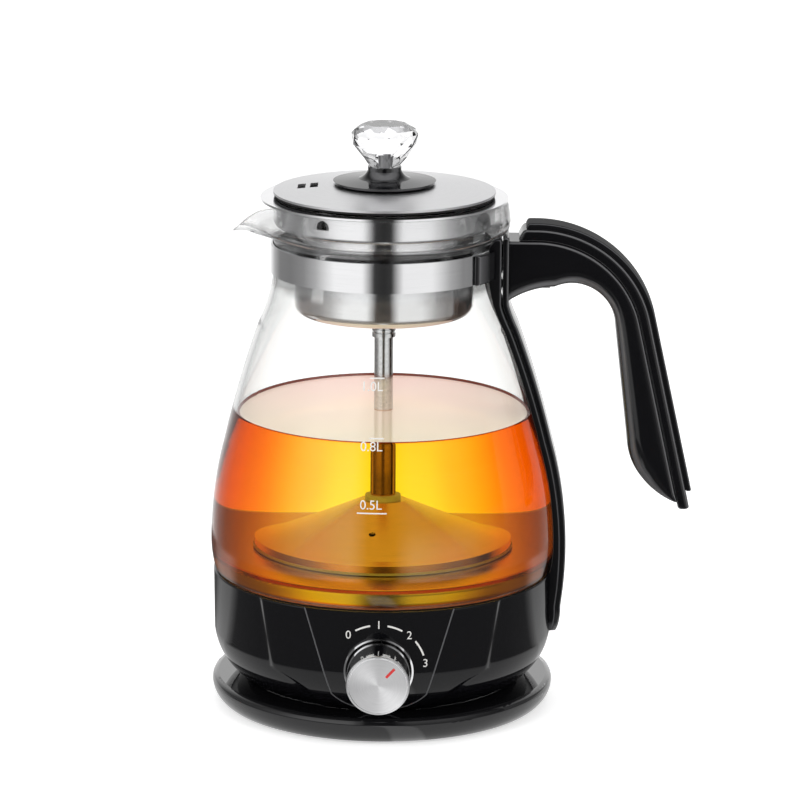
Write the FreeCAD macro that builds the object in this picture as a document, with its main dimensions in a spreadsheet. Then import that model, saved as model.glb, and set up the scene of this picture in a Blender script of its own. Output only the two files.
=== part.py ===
import FreeCAD, Part
import math
import os
from types import SimpleNamespace

import Sketcher
from FreeCAD import Rotation, Vector

# Automatic tea maker: a glass steam kettle with a tea basket, on a round power base.
# Millimetres. +Z is up, the origin is on the kettle's axis in the plane of the table, the
# spout points to -X, the handle to +X and the control panel to -Y.

# ---------------------------------------------------------------- driving dimensions

DIMENSIONS = [
    # power base
    ("base_radius", 68.0), ("base_rim_inset", 0.4), ("base_foot_inset", 3.8),
    ("base_top_height", 11.0), ("base_rim_height", 10.2), ("base_edge_height", 7.6),
    ("base_under_height", 1.2), ("base_wall", 2.0), ("base_lip", 1.0), ("well_radius", 14.6),
    ("base_plate_thickness", 1.6), ("base_edge_curve", 9.0), ("base_rim_curve", 4.0),
    ("base_rim_width", 2.0), ("base_screw_bite", 3.0), ("foot_taper", 0.6), ("foot_head", 0.8),
    ("foot_inset", 17.6), ("foot_radius", 3.0), ("foot_stem_radius", 1.5), ("foot_angle", 51.0),
    ("base_screw_inset", 11.6), ("gland_radius", 3.4), ("gland_bore", 2.2),
    ("gland_length", 6.0), ("gland_height", 6.0),
    # cordless connector
    ("boss_radius", 13.0), ("boss_height", 17.4), ("boss_flange", 3.0),
    ("ring_wall", 1.0), ("inner_ring_radius", 5.0), ("outer_ring_radius", 9.0),
    ("contact_height", 3.0), ("groove_floor", 9.0), ("pin_radius", 1.3),
    ("shutter_fit", 0.08), ("shutter_width", 3.2), ("shutter_thickness", 1.8),
    ("contact_slack", 0.6), ("boss_chamfer", 1.0), ("socket_clearance", 0.6),
    ("socket_wall", 2.0), ("socket_flange", 3.6), ("socket_flange_height", 2.0),
    ("socket_height", 12.0), ("socket_taper", 2.0), ("socket_roof_gap", 1.2),
    ("shutter_headroom", 0.4), ("pin_slack", 0.2), ("body_gap", 0.3),
    # screws
    ("screw_radius", 1.2), ("screw_head", 2.5), ("screw_head_height", 1.2),
    ("screw_clearance", 0.3), ("post_radius", 3.0),
    ("pilot_floor", 1.0), ("small_screw_radius", 0.9), ("small_screw_head", 1.4),
    ("small_screw_clearance", 0.2),
    # jug housing
    ("housing_radius", 67.4), ("housing_waist_inset", 0.3), ("housing_waist_height", 30.0),
    ("housing_height", 54.8), ("housing_foot_inset", 12.9), ("housing_curve", 24.0),
    ("housing_wall", 2.4), ("lobe_rise", 1.2), ("lobe_root", 0.5), ("lobe_half_width", 46.0),
    ("lobe_low_half_width", 41.5), ("lobe_knee_height", 27.0), ("lobe_foot_half", 22.3),
    ("lobe_corner", 24.0), ("housing_lip", 1.4), ("core_inset", 1.0),
    ("cover_thickness", 2.0), ("cover_screw_inset", 6.5), ("cover_screw_sink", 1.3),
    ("cover_screw_bite", 4.0), ("rib_length", 16.0), ("rib_height", 9.0),
    ("seat_depth", 1.6), ("seat_width", 0.9),
    # glass
    ("glass_wall", 2.2), ("glass_foot_inset", 0.5), ("belly_swell", 1.5),
    ("belly_rise", 10.8), ("waist_inset", 5.6), ("waist_rise", 42.0),
    ("shoulder_inset", 13.4), ("shoulder_rise", 46.0), ("neck_inset", 5.8),
    ("neck_rise", 21.0), ("neck_length", 12.0), ("flare_spread", 6.0),
    ("flare_rise", 7.6), ("rim_inset", 1.2), ("rim_rise", 8.8),
    ("foot_curve", 45.0), ("belly_curve", 160.0), ("waist_curve", 410.0),
    ("shoulder_curve", 60.0), ("rim_curve", 40.0),
    ("spout_length", 10.8), ("spout_root_half", 20.0), ("spout_tip_half", 4.6),
    ("spout_root_rise", 1.4), ("spout_tip_rise", 3.9), ("spout_dip", 7.8),
    ("spout_tip_wall", 1.7), ("spout_overrun", 3.0),
    ("seal_height", 1.2), ("seal_width", 2.4),
    # heater
    ("pan_inset", 3.7), ("pan_rise", 9.2), ("pan_wall", 0.8), ("pan_corner", 1.6),
    ("heat_plate_inset", 17.7), ("heat_plate_thickness", 3.0), ("element_inset", 12.0),
    ("element_radius", 3.2), ("element_opening", 60.0), ("cold_end_length", 12.0),
    ("thermostat_radius", 8.0), ("thermostat_height", 6.0), ("thermostat_spread", 12.0),
    ("thermostat_offset", 4.0), ("fuse_radius", 2.0),
    ("fuse_length", 15.0), ("fuse_offset", 19.0),
    # electrics
    ("board_width", 54.0), ("board_depth", 40.0), ("board_thickness", 1.6),
    ("board_height", 33.0), ("board_offset", 28.0), ("board_hole_inset", 4.0),
    ("board_screw_bite", 6.0), ("board_pilot_depth", 8.0), ("relay_width", 19.0),
    ("relay_depth", 15.5), ("relay_height", 12.0), ("lead_radius", 0.9), ("lead_pitch", 6.0),
    ("lead_inset", 3.0),
    # control panel, knob and switch, along the knob's axis
    ("panel_rise", 1.5), ("panel_half_width", 28.8), ("panel_low_half", 18.4),
    ("panel_low_height", 20.0), ("panel_tip", 11.8), ("panel_clearance", 0.15), ("knob_height", 31.2),
    ("knob_tilt", 6.0), ("knob_radius", 12.25), ("knob_length", 14.6), ("knob_wall", 3.4),
    ("knob_gap", 0.9), ("dial_radius", 13.5), ("dial_wall", 0.7), ("dial_depth", 2.8),
    ("dial_floor", 0.8), ("dial_lip", 0.5), ("face_radius", 11.2), ("face_thickness", 0.8),
    ("pointer_length", 4.8), ("pointer_width", 1.0), ("pointer_out", 9.5),
    ("pointer_turn", 42.0), ("pointer_rise", 0.15), ("shaft_radius", 3.0), ("shaft_fit", 0.05),
    ("bushing_radius", 4.6), ("switch_radius", 10.8), ("switch_length", 14.0),
    ("switch_depth", 8.0), ("switch_boss", 13.6), ("nut_radius", 6.6), ("nut_height", 1.6),
    ("bushing_proud", 0.4), ("shaft_seat_depth", 3.0), ("shaft_end_gap", 0.2),
    ("knob_socket_depth", 5.0), ("knob_edge", 0.9),
    # neck band and handle
    ("band_gap", 0.3), ("band_thickness", 0.9), ("band_drop", 0.2), ("band_height", 11.6),
    ("band_opening_angle", 18.0), ("tab_spread", 4.0), ("tab_length", 2.5), ("tab_rise", 1.7),
    ("tab_height", 5.0), ("tab_root_gap", 2.0), ("tab_room", 1.0), ("tab_pocket", 6.0),
    ("band_nut_height", 1.4),
    ("band_screw_head", 1.0), ("ear_angle", 38.0), ("ear_depth", 3.1),
    ("frame_gap", 0.5), ("frame_depth", 2.1), ("cover_depth", 2.0), ("post_depth", 4.8),
    ("post_rise", 3.6), ("post_drop", 11.0), ("strap_half_width", 16.0),
    ("strap_low_half", 8.4), ("strap_low_height", 38.0), ("strap_end_height", 28.0),
    ("strap_cover_step", 3.2), ("strap_low_depth", 3.6), ("strap_low_mid", 46.0),
    ("strap_screw_height", 43.0), ("strap_stand_off", 1.6), ("strap_low_curve", 60.0),
    ("strap_overrun", 3.0), ("strap_end_step", 1.0), ("strap_screw_bite", 1.0), ("lip_flare", 2.2),
    ("hook_run", 11.5), ("hook_rise", 4.6), ("hook_radius", 48.2), ("hook_fall_angle", 77.5),
    ("cap_offset", 8.0), ("spine_offset", 6.2), ("cap_depth", 2.2), ("spine_depth", 4.4),
    ("cap_end_rise", 3.6), ("spine_end_drop", 3.4), ("cap_width", 12.6), ("spine_width", 17.0),
    ("grip_width", 21.0), ("grip_root_drop", 1.4), ("grip_root_length", 18.6),
    ("grip_hump_rise", 7.2), ("grip_hump_length", 24.0), ("grip_hump_fall", 14.4),
    ("grip_hump_bulge", 7.348), ("grip_inner_run", 5.4), ("grip_inner_length", 46.4),
    ("grip_root_curve", 34.0), ("grip_end_curve", 27.0), ("grip_end_length", 25.0),
    ("grip_round", 4.5), ("cap_round", 0.8), ("spine_round", 1.4), ("end_slope", 1.0),
    ("handle_screw_radius", 1.7), ("handle_screw_seat", 2.8), ("handle_screw_length", 19.0),
    ("handle_screw_drop", 5.2), ("handle_screw_rise", 6.0),
    # infuser
    ("basket_wall", 0.8), ("flange_lap", 0.2), ("basket_mouth_inset", 5.0),
    ("collar_drop", 9.8), ("collar_corner", 1.6), ("cup_inset", 8.2),
    ("cup_depth", 35.4), ("cup_corner", 4.0), ("outlet_radius", 2.8),
    ("outlet_rise", 5.2), ("outlet_sill", 0.9), ("drain_radius", 1.1), ("drain_pitch", 6.5),
    ("tube_radius", 3.75), ("tube_wall", 0.8), ("tube_rise", 34.8), ("sleeve_radius", 4.7),
    ("tube_reach", 3.0), ("sleeve_length", 9.8), ("sleeve_groove", 0.5),
    ("sleeve_pitch", 1.6), ("nut_across", 6.4), ("nut_thickness", 3.0), ("cap_radius", 6.4),
    ("cap_height", 8.0), ("cap_gap", 1.2), ("cap_collar", 1.0), ("cap_slot_width", 2.0),
    ("cap_slot_height", 2.4), ("cap_slot_drop", 4.0),
    ("bell_neck_room", 5.6), ("bell_rim_inset", 3.2), ("bell_shoulder_radius", 7.0),
    ("bell_rise", 20.2), ("bell_rim_rise", 5.0), ("bell_step", 1.2), ("bell_wall", 0.8),
    ("washer_radius", 5.3), ("washer_height", 1.8), ("bell_seal_height", 2.2),
    ("bell_seal_wall", 0.9), ("bell_seal_lip", 0.3), ("breather_radius", 1.1),
    ("breather_circle", 21.6),
    # lid
    ("lid_lap", 0.2), ("lid_edge_depth", 0.9), ("lid_rise", 3.0),
    ("lid_sheet", 1.0), ("lid_rim_flat", 2.0), ("lid_seal_width", 2.8), ("lid_seal_depth", 1.2),
    ("lid_seal_lip", 0.3),
    ("vent_width", 3.1), ("vent_length", 9.0), ("vent_first", 27.6), ("vent_pitch", 4.9),
    ("knob_disc_radius", 20.2), ("knob_disc_edge", 1.0), ("knob_disc_bevel", 0.6),
    ("knob_disc_slope", 0.8), ("knob_flare_radius", 10.2), ("knob_flare_height", 5.0),
    ("knob_flare_curve", 6.0), ("knob_neck_radius", 6.6), ("knob_neck_rise", 6.5),
    ("crystal_bore_gap", 0.5), ("crystal_radius", 13.5),
    ("crystal_low_radius", 9.6), ("crystal_low_rise", 5.6), ("crystal_side_rise", 7.4),
    ("crystal_table", 8.3), ("crystal_crown_rise", 4.0), ("crystal_side_count", 10),
    ("lid_screw_radius", 2.0), ("lid_screw_head", 3.6), ("lid_screw_length", 14.0),
]

LEFT, RIGHT = 1, -1
BEYOND = 12.0                      # how far a cutting or clipping solid runs past its work
BASE_SCREW_DIRECTIONS = (10, 130, 250)
FEET = 4
COVER_SCREW_DIRECTIONS = (35, 145, 235, 305)
FLANGE_SCREW_DIRECTIONS = (90, 210, 330)
OUTLET_DIRECTIONS = (122, 180, 238)
DRAIN_ROWS = (2, 3, 4)             # rings of drain holes, counted from the basket's middle
DRAINS_PER_RING = 6                # times the ring's number
BREATHER_DIRECTIONS = (30, 262)
SLEEVE_GROOVES = 4
LID_VENTS = 2


# ---------------------------------------------------------------- sizes tied to the sheet

class Size:
    """A number together with the expression on the sheet that it stands for."""

    def __init__(self, value, text):
        self.value = float(value)
        self.text = text

    def __add__(self, other):
        other = as_size(other)
        return Size(self.value + other.value, f"({self.text} + {other.text})")

    def __sub__(self, other):
        other = as_size(other)
        return Size(self.value - other.value, f"({self.text} - {other.text})")

    def __mul__(self, other):
        other = as_size(other)
        return Size(self.value * other.value, f"({self.text} * {other.text})")

    def __truediv__(self, other):
        other = as_size(other)
        return Size(self.value / other.value, f"({self.text} / {other.text})")

    def __neg__(self):
        return Size(-self.value, f"(-1 * {self.text})")

    def __radd__(self, other):
        return as_size(other) + self

    def __rsub__(self, other):
        return as_size(other) - self

    def __rmul__(self, other):
        return as_size(other) * self


def as_size(number):
    """A plain number as a Size, so that both can be mixed in a sum."""
    return number if isinstance(number, Size) else Size(number, repr(float(number)))


def root(size):
    """The square root of a Size."""
    return Size(math.sqrt(size.value), f"sqrt({size.text})")


def sine(angle):
    """The sine of a Size in degrees."""
    angle = as_size(angle)
    return Size(math.sin(math.radians(angle.value)), f"sin({angle.text})")


def cosine(angle):
    """The cosine of a Size in degrees."""
    angle = as_size(angle)
    return Size(math.cos(math.radians(angle.value)), f"cos({angle.text})")


def make_sheet(dimensions):
    """Write the driving dimensions to a spreadsheet and return them as Sizes."""
    sheet = doc.addObject("Spreadsheet::Sheet", "Dimensions")
    sizes = SimpleNamespace()
    for row, (alias, value) in enumerate(dimensions, start=1):
        sheet.set(f"A{row}", alias)
        sheet.set(f"B{row}", str(value))
        sheet.setAlias(f"B{row}", alias)
        setattr(sizes, alias, Size(value, f"Dimensions.{alias}"))
    doc.recompute()
    return sizes


def work_out_reaches(at):
    """Radii and reaches that follow from the sheet, each one a step from another."""
    at.base_rim_radius = at.base_radius - at.base_rim_inset
    at.base_foot_radius = at.base_radius - at.base_foot_inset
    at.foot_circle = at.base_foot_radius - at.foot_inset
    at.base_screw_circle = at.base_foot_radius - at.base_screw_inset
    at.housing_waist = at.housing_radius - at.housing_waist_inset
    at.housing_foot = at.housing_radius - at.housing_foot_inset
    at.cover_screw_circle = at.housing_foot - at.cover_screw_inset
    at.pan_radius = at.housing_radius - at.pan_inset
    at.heat_plate_radius = at.pan_radius - at.heat_plate_inset
    at.element_circle = at.heat_plate_radius - at.element_inset
    at.foot_glass_radius = at.housing_radius - at.glass_foot_inset
    at.belly_radius = at.foot_glass_radius + at.belly_swell
    at.waist_radius = at.belly_radius - at.waist_inset
    at.shoulder_radius = at.waist_radius - at.shoulder_inset
    at.neck_radius = at.shoulder_radius - at.neck_inset
    at.flare_radius = at.neck_radius + at.flare_spread
    at.rim_radius = at.flare_radius - at.rim_inset
    at.spout_reach = at.rim_radius + at.spout_length
    at.strap_low_outer = at.belly_radius + at.strap_low_depth
    at.ear_outer = at.neck_radius + at.ear_depth
    at.post_outer = at.neck_radius + at.post_depth
    at.hook_left = at.post_outer + at.hook_run
    at.cap_start = at.post_outer + at.cap_offset
    at.spine_start = at.post_outer + at.spine_offset
    at.grip_hump_start = at.post_outer + at.grip_root_length
    at.grip_hump_end = at.grip_hump_start + at.grip_hump_length
    at.grip_inner_low = at.grip_hump_end + at.grip_inner_run
    at.flange_radius = at.rim_radius + at.flange_lap
    at.basket_mouth = at.rim_radius - at.basket_mouth_inset
    at.cup_radius = at.basket_mouth - at.cup_inset
    at.bell_foot_radius = at.neck_radius - at.bell_neck_room
    at.bell_rim_radius = at.bell_foot_radius - at.bell_rim_inset
    at.lid_radius = at.basket_mouth + at.lid_lap


def work_out_heights(at):
    """Heights above the table that follow from the sheet, each one a step from another."""
    at.pan_height = at.housing_height - at.seat_depth + at.pan_rise
    at.bell_rim_height = at.pan_height + at.bell_rim_rise
    at.bell_top = at.pan_height + at.bell_rise
    glass_low = at.housing_height - at.seat_depth + at.pan_wall + at.seal_height
    at.belly_height = glass_low + at.belly_rise
    at.waist_height = at.belly_height + at.waist_rise
    at.shoulder_height = at.waist_height + at.shoulder_rise
    at.neck_bottom = at.shoulder_height + at.neck_rise
    at.neck_top = at.neck_bottom + at.neck_length
    at.flare_height = at.neck_top + at.flare_rise
    at.rim_height = at.flare_height + at.rim_rise
    at.spout_root_low = at.neck_top + at.spout_root_rise
    at.spout_tip_low = at.neck_top + at.spout_tip_rise
    at.spout_tip_high = at.rim_height - at.spout_dip
    at.band_low = at.neck_bottom - at.band_drop
    at.band_high = at.band_low + at.band_height
    at.tab_low = at.band_low + at.tab_rise
    at.tab_high = at.tab_low + at.tab_height
    at.post_top = at.neck_top + at.post_rise
    at.post_low = at.neck_bottom - at.post_drop
    at.handle_screw_high = at.post_top - at.handle_screw_drop
    at.handle_screw_low = at.post_low + at.handle_screw_rise
    at.hook_top = at.post_top + at.hook_rise
    at.grip_root_low = at.post_low - at.grip_root_drop
    at.grip_hump_height = at.grip_root_low + at.grip_hump_rise
    at.grip_hump_end_height = at.grip_hump_height - at.grip_hump_fall
    at.grip_inner_height = at.grip_hump_end_height - at.grip_inner_length
    at.grip_end_height = at.grip_inner_height - at.grip_end_length
    at.cap_end = at.grip_end_height + at.cap_end_rise
    at.spine_end = at.grip_end_height - at.spine_end_drop
    at.collar_low = at.rim_height - at.collar_drop
    at.outlet_height = at.collar_low + at.outlet_rise
    at.cup_bottom = at.collar_low - at.cup_depth
    at.tube_top = at.cup_bottom + at.tube_rise
    at.sleeve_bottom = at.cup_bottom - at.sleeve_length
    at.flange_low = at.rim_height + at.body_gap
    at.lid_edge = at.flange_low + at.basket_wall + at.body_gap + at.lid_seal_depth
    at.lid_crown = at.lid_edge + at.lid_edge_depth + at.lid_rise
    at.knob_neck_height = at.lid_crown + at.knob_neck_rise
    at.crystal_low_height = at.knob_neck_height + at.crystal_low_rise
    at.crystal_widest = at.crystal_low_height + at.crystal_side_rise
    at.crystal_top = at.crystal_widest + at.crystal_crown_rise


def bind(thing, prop, size):
    """Give a property its size and tie it to the sheet."""
    size = as_size(size)
    if "." not in prop:
        whole = isinstance(getattr(thing, prop), int)
        setattr(thing, prop, round(size.value) if whole else size.value)
    thing.setExpression(prop, size.text)


# ---------------------------------------------------------------- outlines and sketches

def turn_back(steps):
    """The same stretch of an outline walked the other way."""
    result = [steps[-1][:2]]
    for i in range(len(steps) - 1, 0, -1):
        arc = steps[i][2:]
        back = (arc[0], -arc[1]) if arc else ()
        result.append(steps[i - 1][:2] + back)
    return result


def edge_between(start, step):
    """The edge that arrives at a step: a line, or an arc of a radius that turns left or right."""
    p = Vector(as_size(start[0]).value, as_size(start[1]).value, 0)
    q = Vector(as_size(step[0]).value, as_size(step[1]).value, 0)
    if len(step) == 2:
        return Part.LineSegment(p, q), 1, 2
    radius, side = as_size(step[2]).value, step[3]
    half = (q - p) * 0.5
    across = Vector(-half.y, half.x, 0).normalize()
    centre = p + half + across * (side * math.sqrt(radius ** 2 - half.Length ** 2))
    first, last = (p, q) if side == LEFT else (q, p)
    begin = math.atan2(first.y - centre.y, first.x - centre.x)
    end = math.atan2(last.y - centre.y, last.x - centre.x)
    if end <= begin:
        end += 2 * math.pi
    arc = Part.ArcOfCircle(Part.Circle(centre, Vector(0, 0, 1), radius), begin, end)
    return (arc, 1, 2) if side == LEFT else (arc, 2, 1)


def draw(sketch, outline):
    """Draw a closed outline, each corner and radius held by a constraint tied to the sheet."""
    joints = []
    for i, step in enumerate(outline):
        edge, start_end, far_end = edge_between(outline[i - 1], step)
        sketch.addGeometry(edge, False)
        joints.append((start_end, far_end))
    ties = []
    for i, step in enumerate(outline):
        following = (i + 1) % len(outline)
        far_end = joints[i][1]
        sketch.addConstraint(Sketcher.Constraint(
            "Coincident", i, far_end, following, joints[following][0]))
        for kind, axis, size in (("DistanceX", -2, step[0]), ("DistanceY", -1, step[1])):
            size = as_size(size)
            if size.value == 0:
                sketch.addConstraint(Sketcher.Constraint("PointOnObject", i, far_end, axis))
                continue
            index = sketch.addConstraint(
                Sketcher.Constraint(kind, -1, 1, i, far_end, size.value))
            ties.append((index, size))
        if len(step) == 4:
            index = sketch.addConstraint(Sketcher.Constraint("Radius", i, as_size(step[2]).value))
            ties.append((index, as_size(step[2])))
    for index, size in ties:
        sketch.setExpression(f"Constraints[{index}]", size.text)


def sketched_body(label, outline, role):
    """A body with one sketch on the origin plane of that role."""
    body = doc.addObject("PartDesign::Body", label.replace(" ", "_"))
    body.Label = label
    sketch = body.newObject("Sketcher::SketchObject", "Outline")
    base_plane = [p for p in body.Origin.OriginFeatures if p.Role == role][0]
    sketch.AttachmentSupport = (base_plane, [""])
    sketch.MapMode = "FlatFace"
    draw(sketch, outline)
    return body, sketch


def turned(label, outline, angle=360):
    """A body revolved about Z from an outline of (radius, height) corners."""
    body, sketch = sketched_body(label, outline, "XZ_Plane")
    feature = body.newObject("PartDesign::Revolution", "Turn")
    feature.Profile = sketch
    feature.ReferenceAxis = (sketch, ["V_Axis"])
    bind(feature, "Angle", angle)
    return body


def padded(label, outline, role, length, offset=None, both_ways=False):
    """A body extruded from an outline on an origin plane, from an offset or both ways."""
    body, sketch = sketched_body(label, outline, role)
    if offset is not None:
        bind(sketch, "AttachmentOffset.Base.z", offset)
    feature = body.newObject("PartDesign::Pad", "Pad")
    feature.Profile = sketch
    bind(feature, "Length", length)
    if both_ways:
        feature.SideType = "Symmetric"
    return body


# ---------------------------------------------------------------- primitives and booleans

def put(thing, x=0, y=0, z=0, turn=None):
    """Place an object, each coordinate tied to the sheet; turn is (axis, degrees)."""
    for axis, size in (("x", x), ("y", y), ("z", z)):
        if as_size(size).value != 0:
            bind(thing, f"Placement.Base.{axis}", size)
    if turn:
        direction, degrees = turn
        thing.Placement.Rotation = Rotation(direction, as_size(degrees).value)
        if isinstance(degrees, Size):
            bind(thing, "Placement.Rotation.Angle", degrees)
    return thing


def primitive(kind, label, **sizes):
    """A Part primitive whose named sizes are tied to the sheet."""
    thing = doc.addObject(f"Part::{kind}", label.replace(" ", "_"))
    thing.Label = label
    for prop, size in sizes.items():
        bind(thing, prop, size)
    return thing


def cylinder(label, radius, height, x=0, y=0, z=0, turn=None, sweep=360):
    """A round bar that stands on its lower face."""
    bar = primitive("Cylinder", label, Radius=radius, Height=height, Angle=sweep)
    return put(bar, x, y, z, turn)


def block(label, length, width, height, x=0, y=0, z=0, turn=None):
    """A box from its lowest corner."""
    solid = primitive("Box", label, Length=length, Width=width, Height=height)
    return put(solid, x, y, z, turn)


def cut(label, base, *tools):
    """The base with the tools taken away."""
    thing = doc.addObject("Part::Cut", label.replace(" ", "_"))
    thing.Label = label
    thing.Base = base
    thing.Tool = tools[0] if len(tools) == 1 else group(label + " tools", *tools)
    return thing


def fuse(label, *solids):
    """Solids joined into one."""
    thing = doc.addObject("Part::MultiFuse", label.replace(" ", "_"))
    thing.Label = label
    thing.Shapes = list(solids)
    thing.Refine = True
    return thing


def common(label, *solids):
    """What the solids share."""
    thing = doc.addObject("Part::MultiCommon", label.replace(" ", "_"))
    thing.Label = label
    thing.Shapes = list(solids)
    return thing


def group(label, *solids):
    """Separate solids that share one node."""
    thing = doc.addObject("Part::Compound", label.replace(" ", "_"))
    thing.Label = label
    thing.Links = list(solids)
    return thing


def ring(label, outer, inner, height, z=0):
    """A flat ring between two radii."""
    return turned(label, [(inner, z), (outer, z), (outer, z + height), (inner, z + height)])


def along_x():
    """The turn that lays +Z along +X."""
    return Vector(0, 1, 0), 90


def along_y():
    """The turn that lays +Z along +Y."""
    return Vector(1, 0, 0), -90


def around(radius, degrees):
    """The x and y of a point on a circle about Z."""
    return radius * cosine(degrees), radius * sine(degrees)


def screw(label, x, y, z, shank, head_up=False, radius=None, head=None):
    """A pan-head screw along Z: its head's seat is at z, and the shank goes away from it."""
    radius = radius or mm.screw_radius
    head = head or mm.screw_head
    if head_up:
        shape = [(0, -shank), (radius, -shank), (radius, 0), (head, 0),
                 (head, mm.screw_head_height), (0, mm.screw_head_height)]
    else:
        shape = [(0, -mm.screw_head_height), (head, -mm.screw_head_height), (head, 0),
                 (radius, 0), (radius, shank), (0, shank)]
    return put(turned(label, shape), x, y, z)


# ---------------------------------------------------------------- document and nodes

doc = FreeCAD.newDocument("TeaMaker")
mm = make_sheet(DIMENSIONS)
work_out_reaches(mm)
work_out_heights(mm)
NODES = []


def node(thing, name):
    """Mark an object as a finished sub-part, under the name of its file."""
    thing.Label = name
    NODES.append(thing)
    return thing


# ---------------------------------------------------------------- power base

def make_base_top_cover():
    """Upper shell: a shallow disc with a rounded rim, open underneath, with three screw bosses."""
    wall = mm.base_wall
    inside = mm.base_foot_radius - mm.base_lip
    hole = mm.boss_radius + mm.shutter_fit
    shell = turned("base top shell", [
        (hole, mm.base_top_height),
        (hole, mm.base_top_height - wall),
        (inside, mm.base_top_height - wall),
        (inside, mm.base_under_height),
        (mm.base_foot_radius, mm.base_under_height),
        (mm.base_radius, mm.base_edge_height, mm.base_edge_curve, LEFT),
        (mm.base_rim_radius, mm.base_rim_height, mm.base_rim_curve, LEFT),
        (mm.base_rim_radius - mm.base_rim_width, mm.base_top_height, mm.base_rim_curve, LEFT),
    ])
    plate_top = mm.base_under_height + mm.base_plate_thickness
    under = mm.base_top_height - wall - plate_top
    bosses, pilots = [], []
    for degrees in BASE_SCREW_DIRECTIONS:
        x, y = around(mm.base_screw_circle, degrees)
        bosses.append(cylinder("base boss", mm.post_radius, under, x, y, plate_top))
        pilots.append(cylinder("base pilot", mm.screw_radius, under - mm.pilot_floor,
                               x, y, plate_top))
    outlet = cylinder("gland hole", mm.gland_radius, 2 * BEYOND, 0,
                      mm.base_foot_radius - BEYOND, mm.gland_height, along_y())
    node(cut("base top cover cut", fuse("base top joined", shell, *bosses), *pilots, outlet),
         "base_top_cover")


def make_base_bottom():
    """Underside plate, dished under the connector, with its screws and four rubber feet."""
    radius = mm.base_foot_radius - mm.base_lip - mm.body_gap
    low, thick = mm.base_under_height, mm.base_plate_thickness
    well = mm.well_radius
    plate = turned("base plate", [
        (0, 0), (well, 0), (well, low), (radius, low), (radius, low + thick),
        (well - thick, low + thick), (well - thick, thick), (0, thick)])
    holes, screws, feet = [], [], []
    for degrees in BASE_SCREW_DIRECTIONS:
        x, y = around(mm.base_screw_circle, degrees)
        holes.append(cylinder("plate screw hole", mm.screw_radius + mm.screw_clearance,
                              thick, x, y, low))
        screws.append(screw("base screw", x, y, low, thick + mm.base_screw_bite))
    for k in range(FEET):
        x, y = around(mm.foot_circle, mm.foot_angle + 360.0 / FEET * k)
        holes.append(cylinder("plate foot hole", mm.foot_stem_radius, thick, x, y, low))
        foot = turned("foot", [
            (0, 0), (mm.foot_radius - mm.foot_taper, 0), (mm.foot_radius, low),
            (mm.foot_stem_radius, low), (mm.foot_stem_radius, low + thick + mm.foot_head),
            (0, low + thick + mm.foot_head)])
        feet.append(put(foot, x, y))
    node(cut("base plate cut", plate, *holes), "base_bottom_plate")
    node(group("base screw set", *screws), "base_screws")
    node(group("feet set", *feet), "base_feet")


def make_connector():
    """Lower connector boss with its ring contacts, and the loose shutter ring round it."""
    plate_top = mm.base_under_height + mm.base_plate_thickness
    cover_under = mm.base_top_height - mm.base_wall
    floor, top = mm.groove_floor, mm.boss_height
    slack = mm.contact_slack
    flange = mm.boss_radius + mm.boss_flange
    grooves = []
    for radius in (mm.inner_ring_radius, mm.outer_ring_radius):
        grooves.append(ring("connector groove", radius + mm.ring_wall + slack, radius - slack,
                            top - floor, floor))
    grooves.append(cylinder("centre hole", mm.pin_radius + slack, top - floor, 0, 0, floor))
    floor_of_well = mm.base_plate_thickness
    plug = mm.well_radius - floor_of_well - mm.body_gap
    boss = turned("connector boss", [
        (0, floor_of_well), (plug, floor_of_well), (plug, plate_top), (flange, plate_top),
        (flange, cover_under),
        (mm.boss_radius, cover_under), (mm.boss_radius, top - mm.boss_chamfer),
        (mm.boss_radius - mm.boss_chamfer, top), (0, top)])
    node(cut("connector boss cut", boss, *grooves), "lower_connector")
    contacts = [cylinder("centre contact", mm.pin_radius, mm.contact_height, 0, 0, floor)]
    for radius in (mm.inner_ring_radius, mm.outer_ring_radius):
        contacts.append(ring("contact ring", radius + mm.ring_wall, radius,
                             mm.contact_height, floor))
    node(group("contact set", *contacts), "contact_rings")
    bore = mm.boss_radius + mm.shutter_fit
    node(ring("shutter", bore + mm.shutter_width, bore, mm.shutter_thickness, kettle_low()),
         "connector_shutter")


def make_cord_gland():
    """Outlet bushing in the rim at the back: a sleeve along Y."""
    start = mm.base_foot_radius - mm.base_lip
    sleeve = cylinder("gland sleeve", mm.gland_radius, mm.gland_length, 0, start,
                      mm.gland_height, along_y())
    bore = cylinder("gland bore", mm.gland_bore, mm.gland_length, 0, start,
                    mm.gland_height, along_y())
    node(cut("gland cut", sleeve, bore), "cord_gland")


# ---------------------------------------------------------------- jug housing

def kettle_low():
    """Height of the jug's underside when it stands on the base."""
    return mm.base_top_height + mm.body_gap


def housing_side(grow):
    """Outer side of the housing from its foot to its top edge, grown outwards."""
    return [
        (mm.housing_foot + grow, kettle_low()),
        (mm.housing_waist + grow, mm.housing_waist_height, mm.housing_curve + grow, LEFT),
        (mm.housing_radius + grow, mm.housing_height),
    ]


def lobe_prism(label, sign):
    """Prism of the raised lobe's front view, on the front (-1) or the back (+1)."""
    top = mm.housing_height
    low = kettle_low()
    knee = mm.lobe_knee_height
    outline = [
        (-mm.lobe_half_width, top), (-mm.lobe_low_half_width, knee),
        (-mm.lobe_foot_half, low, mm.lobe_corner, LEFT), (mm.lobe_foot_half, low),
        (mm.lobe_low_half_width, knee, mm.lobe_corner, LEFT), (mm.lobe_half_width, top)]
    depth = mm.housing_radius + BEYOND
    if sign > 0:
        prism = padded(label, outline, "XZ_Plane", depth)
        return put(prism, turn=(Vector(0, 0, 1), 180))
    return padded(label, outline, "XZ_Plane", depth)


def knob_point(out):
    """A point on the knob's axis, measured outwards from the panel's surface."""
    surface = mm.housing_waist + mm.panel_rise
    y = -1 * (surface + out * cosine(mm.knob_tilt))
    return 0, y, mm.knob_height - out * sine(mm.knob_tilt)


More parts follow.
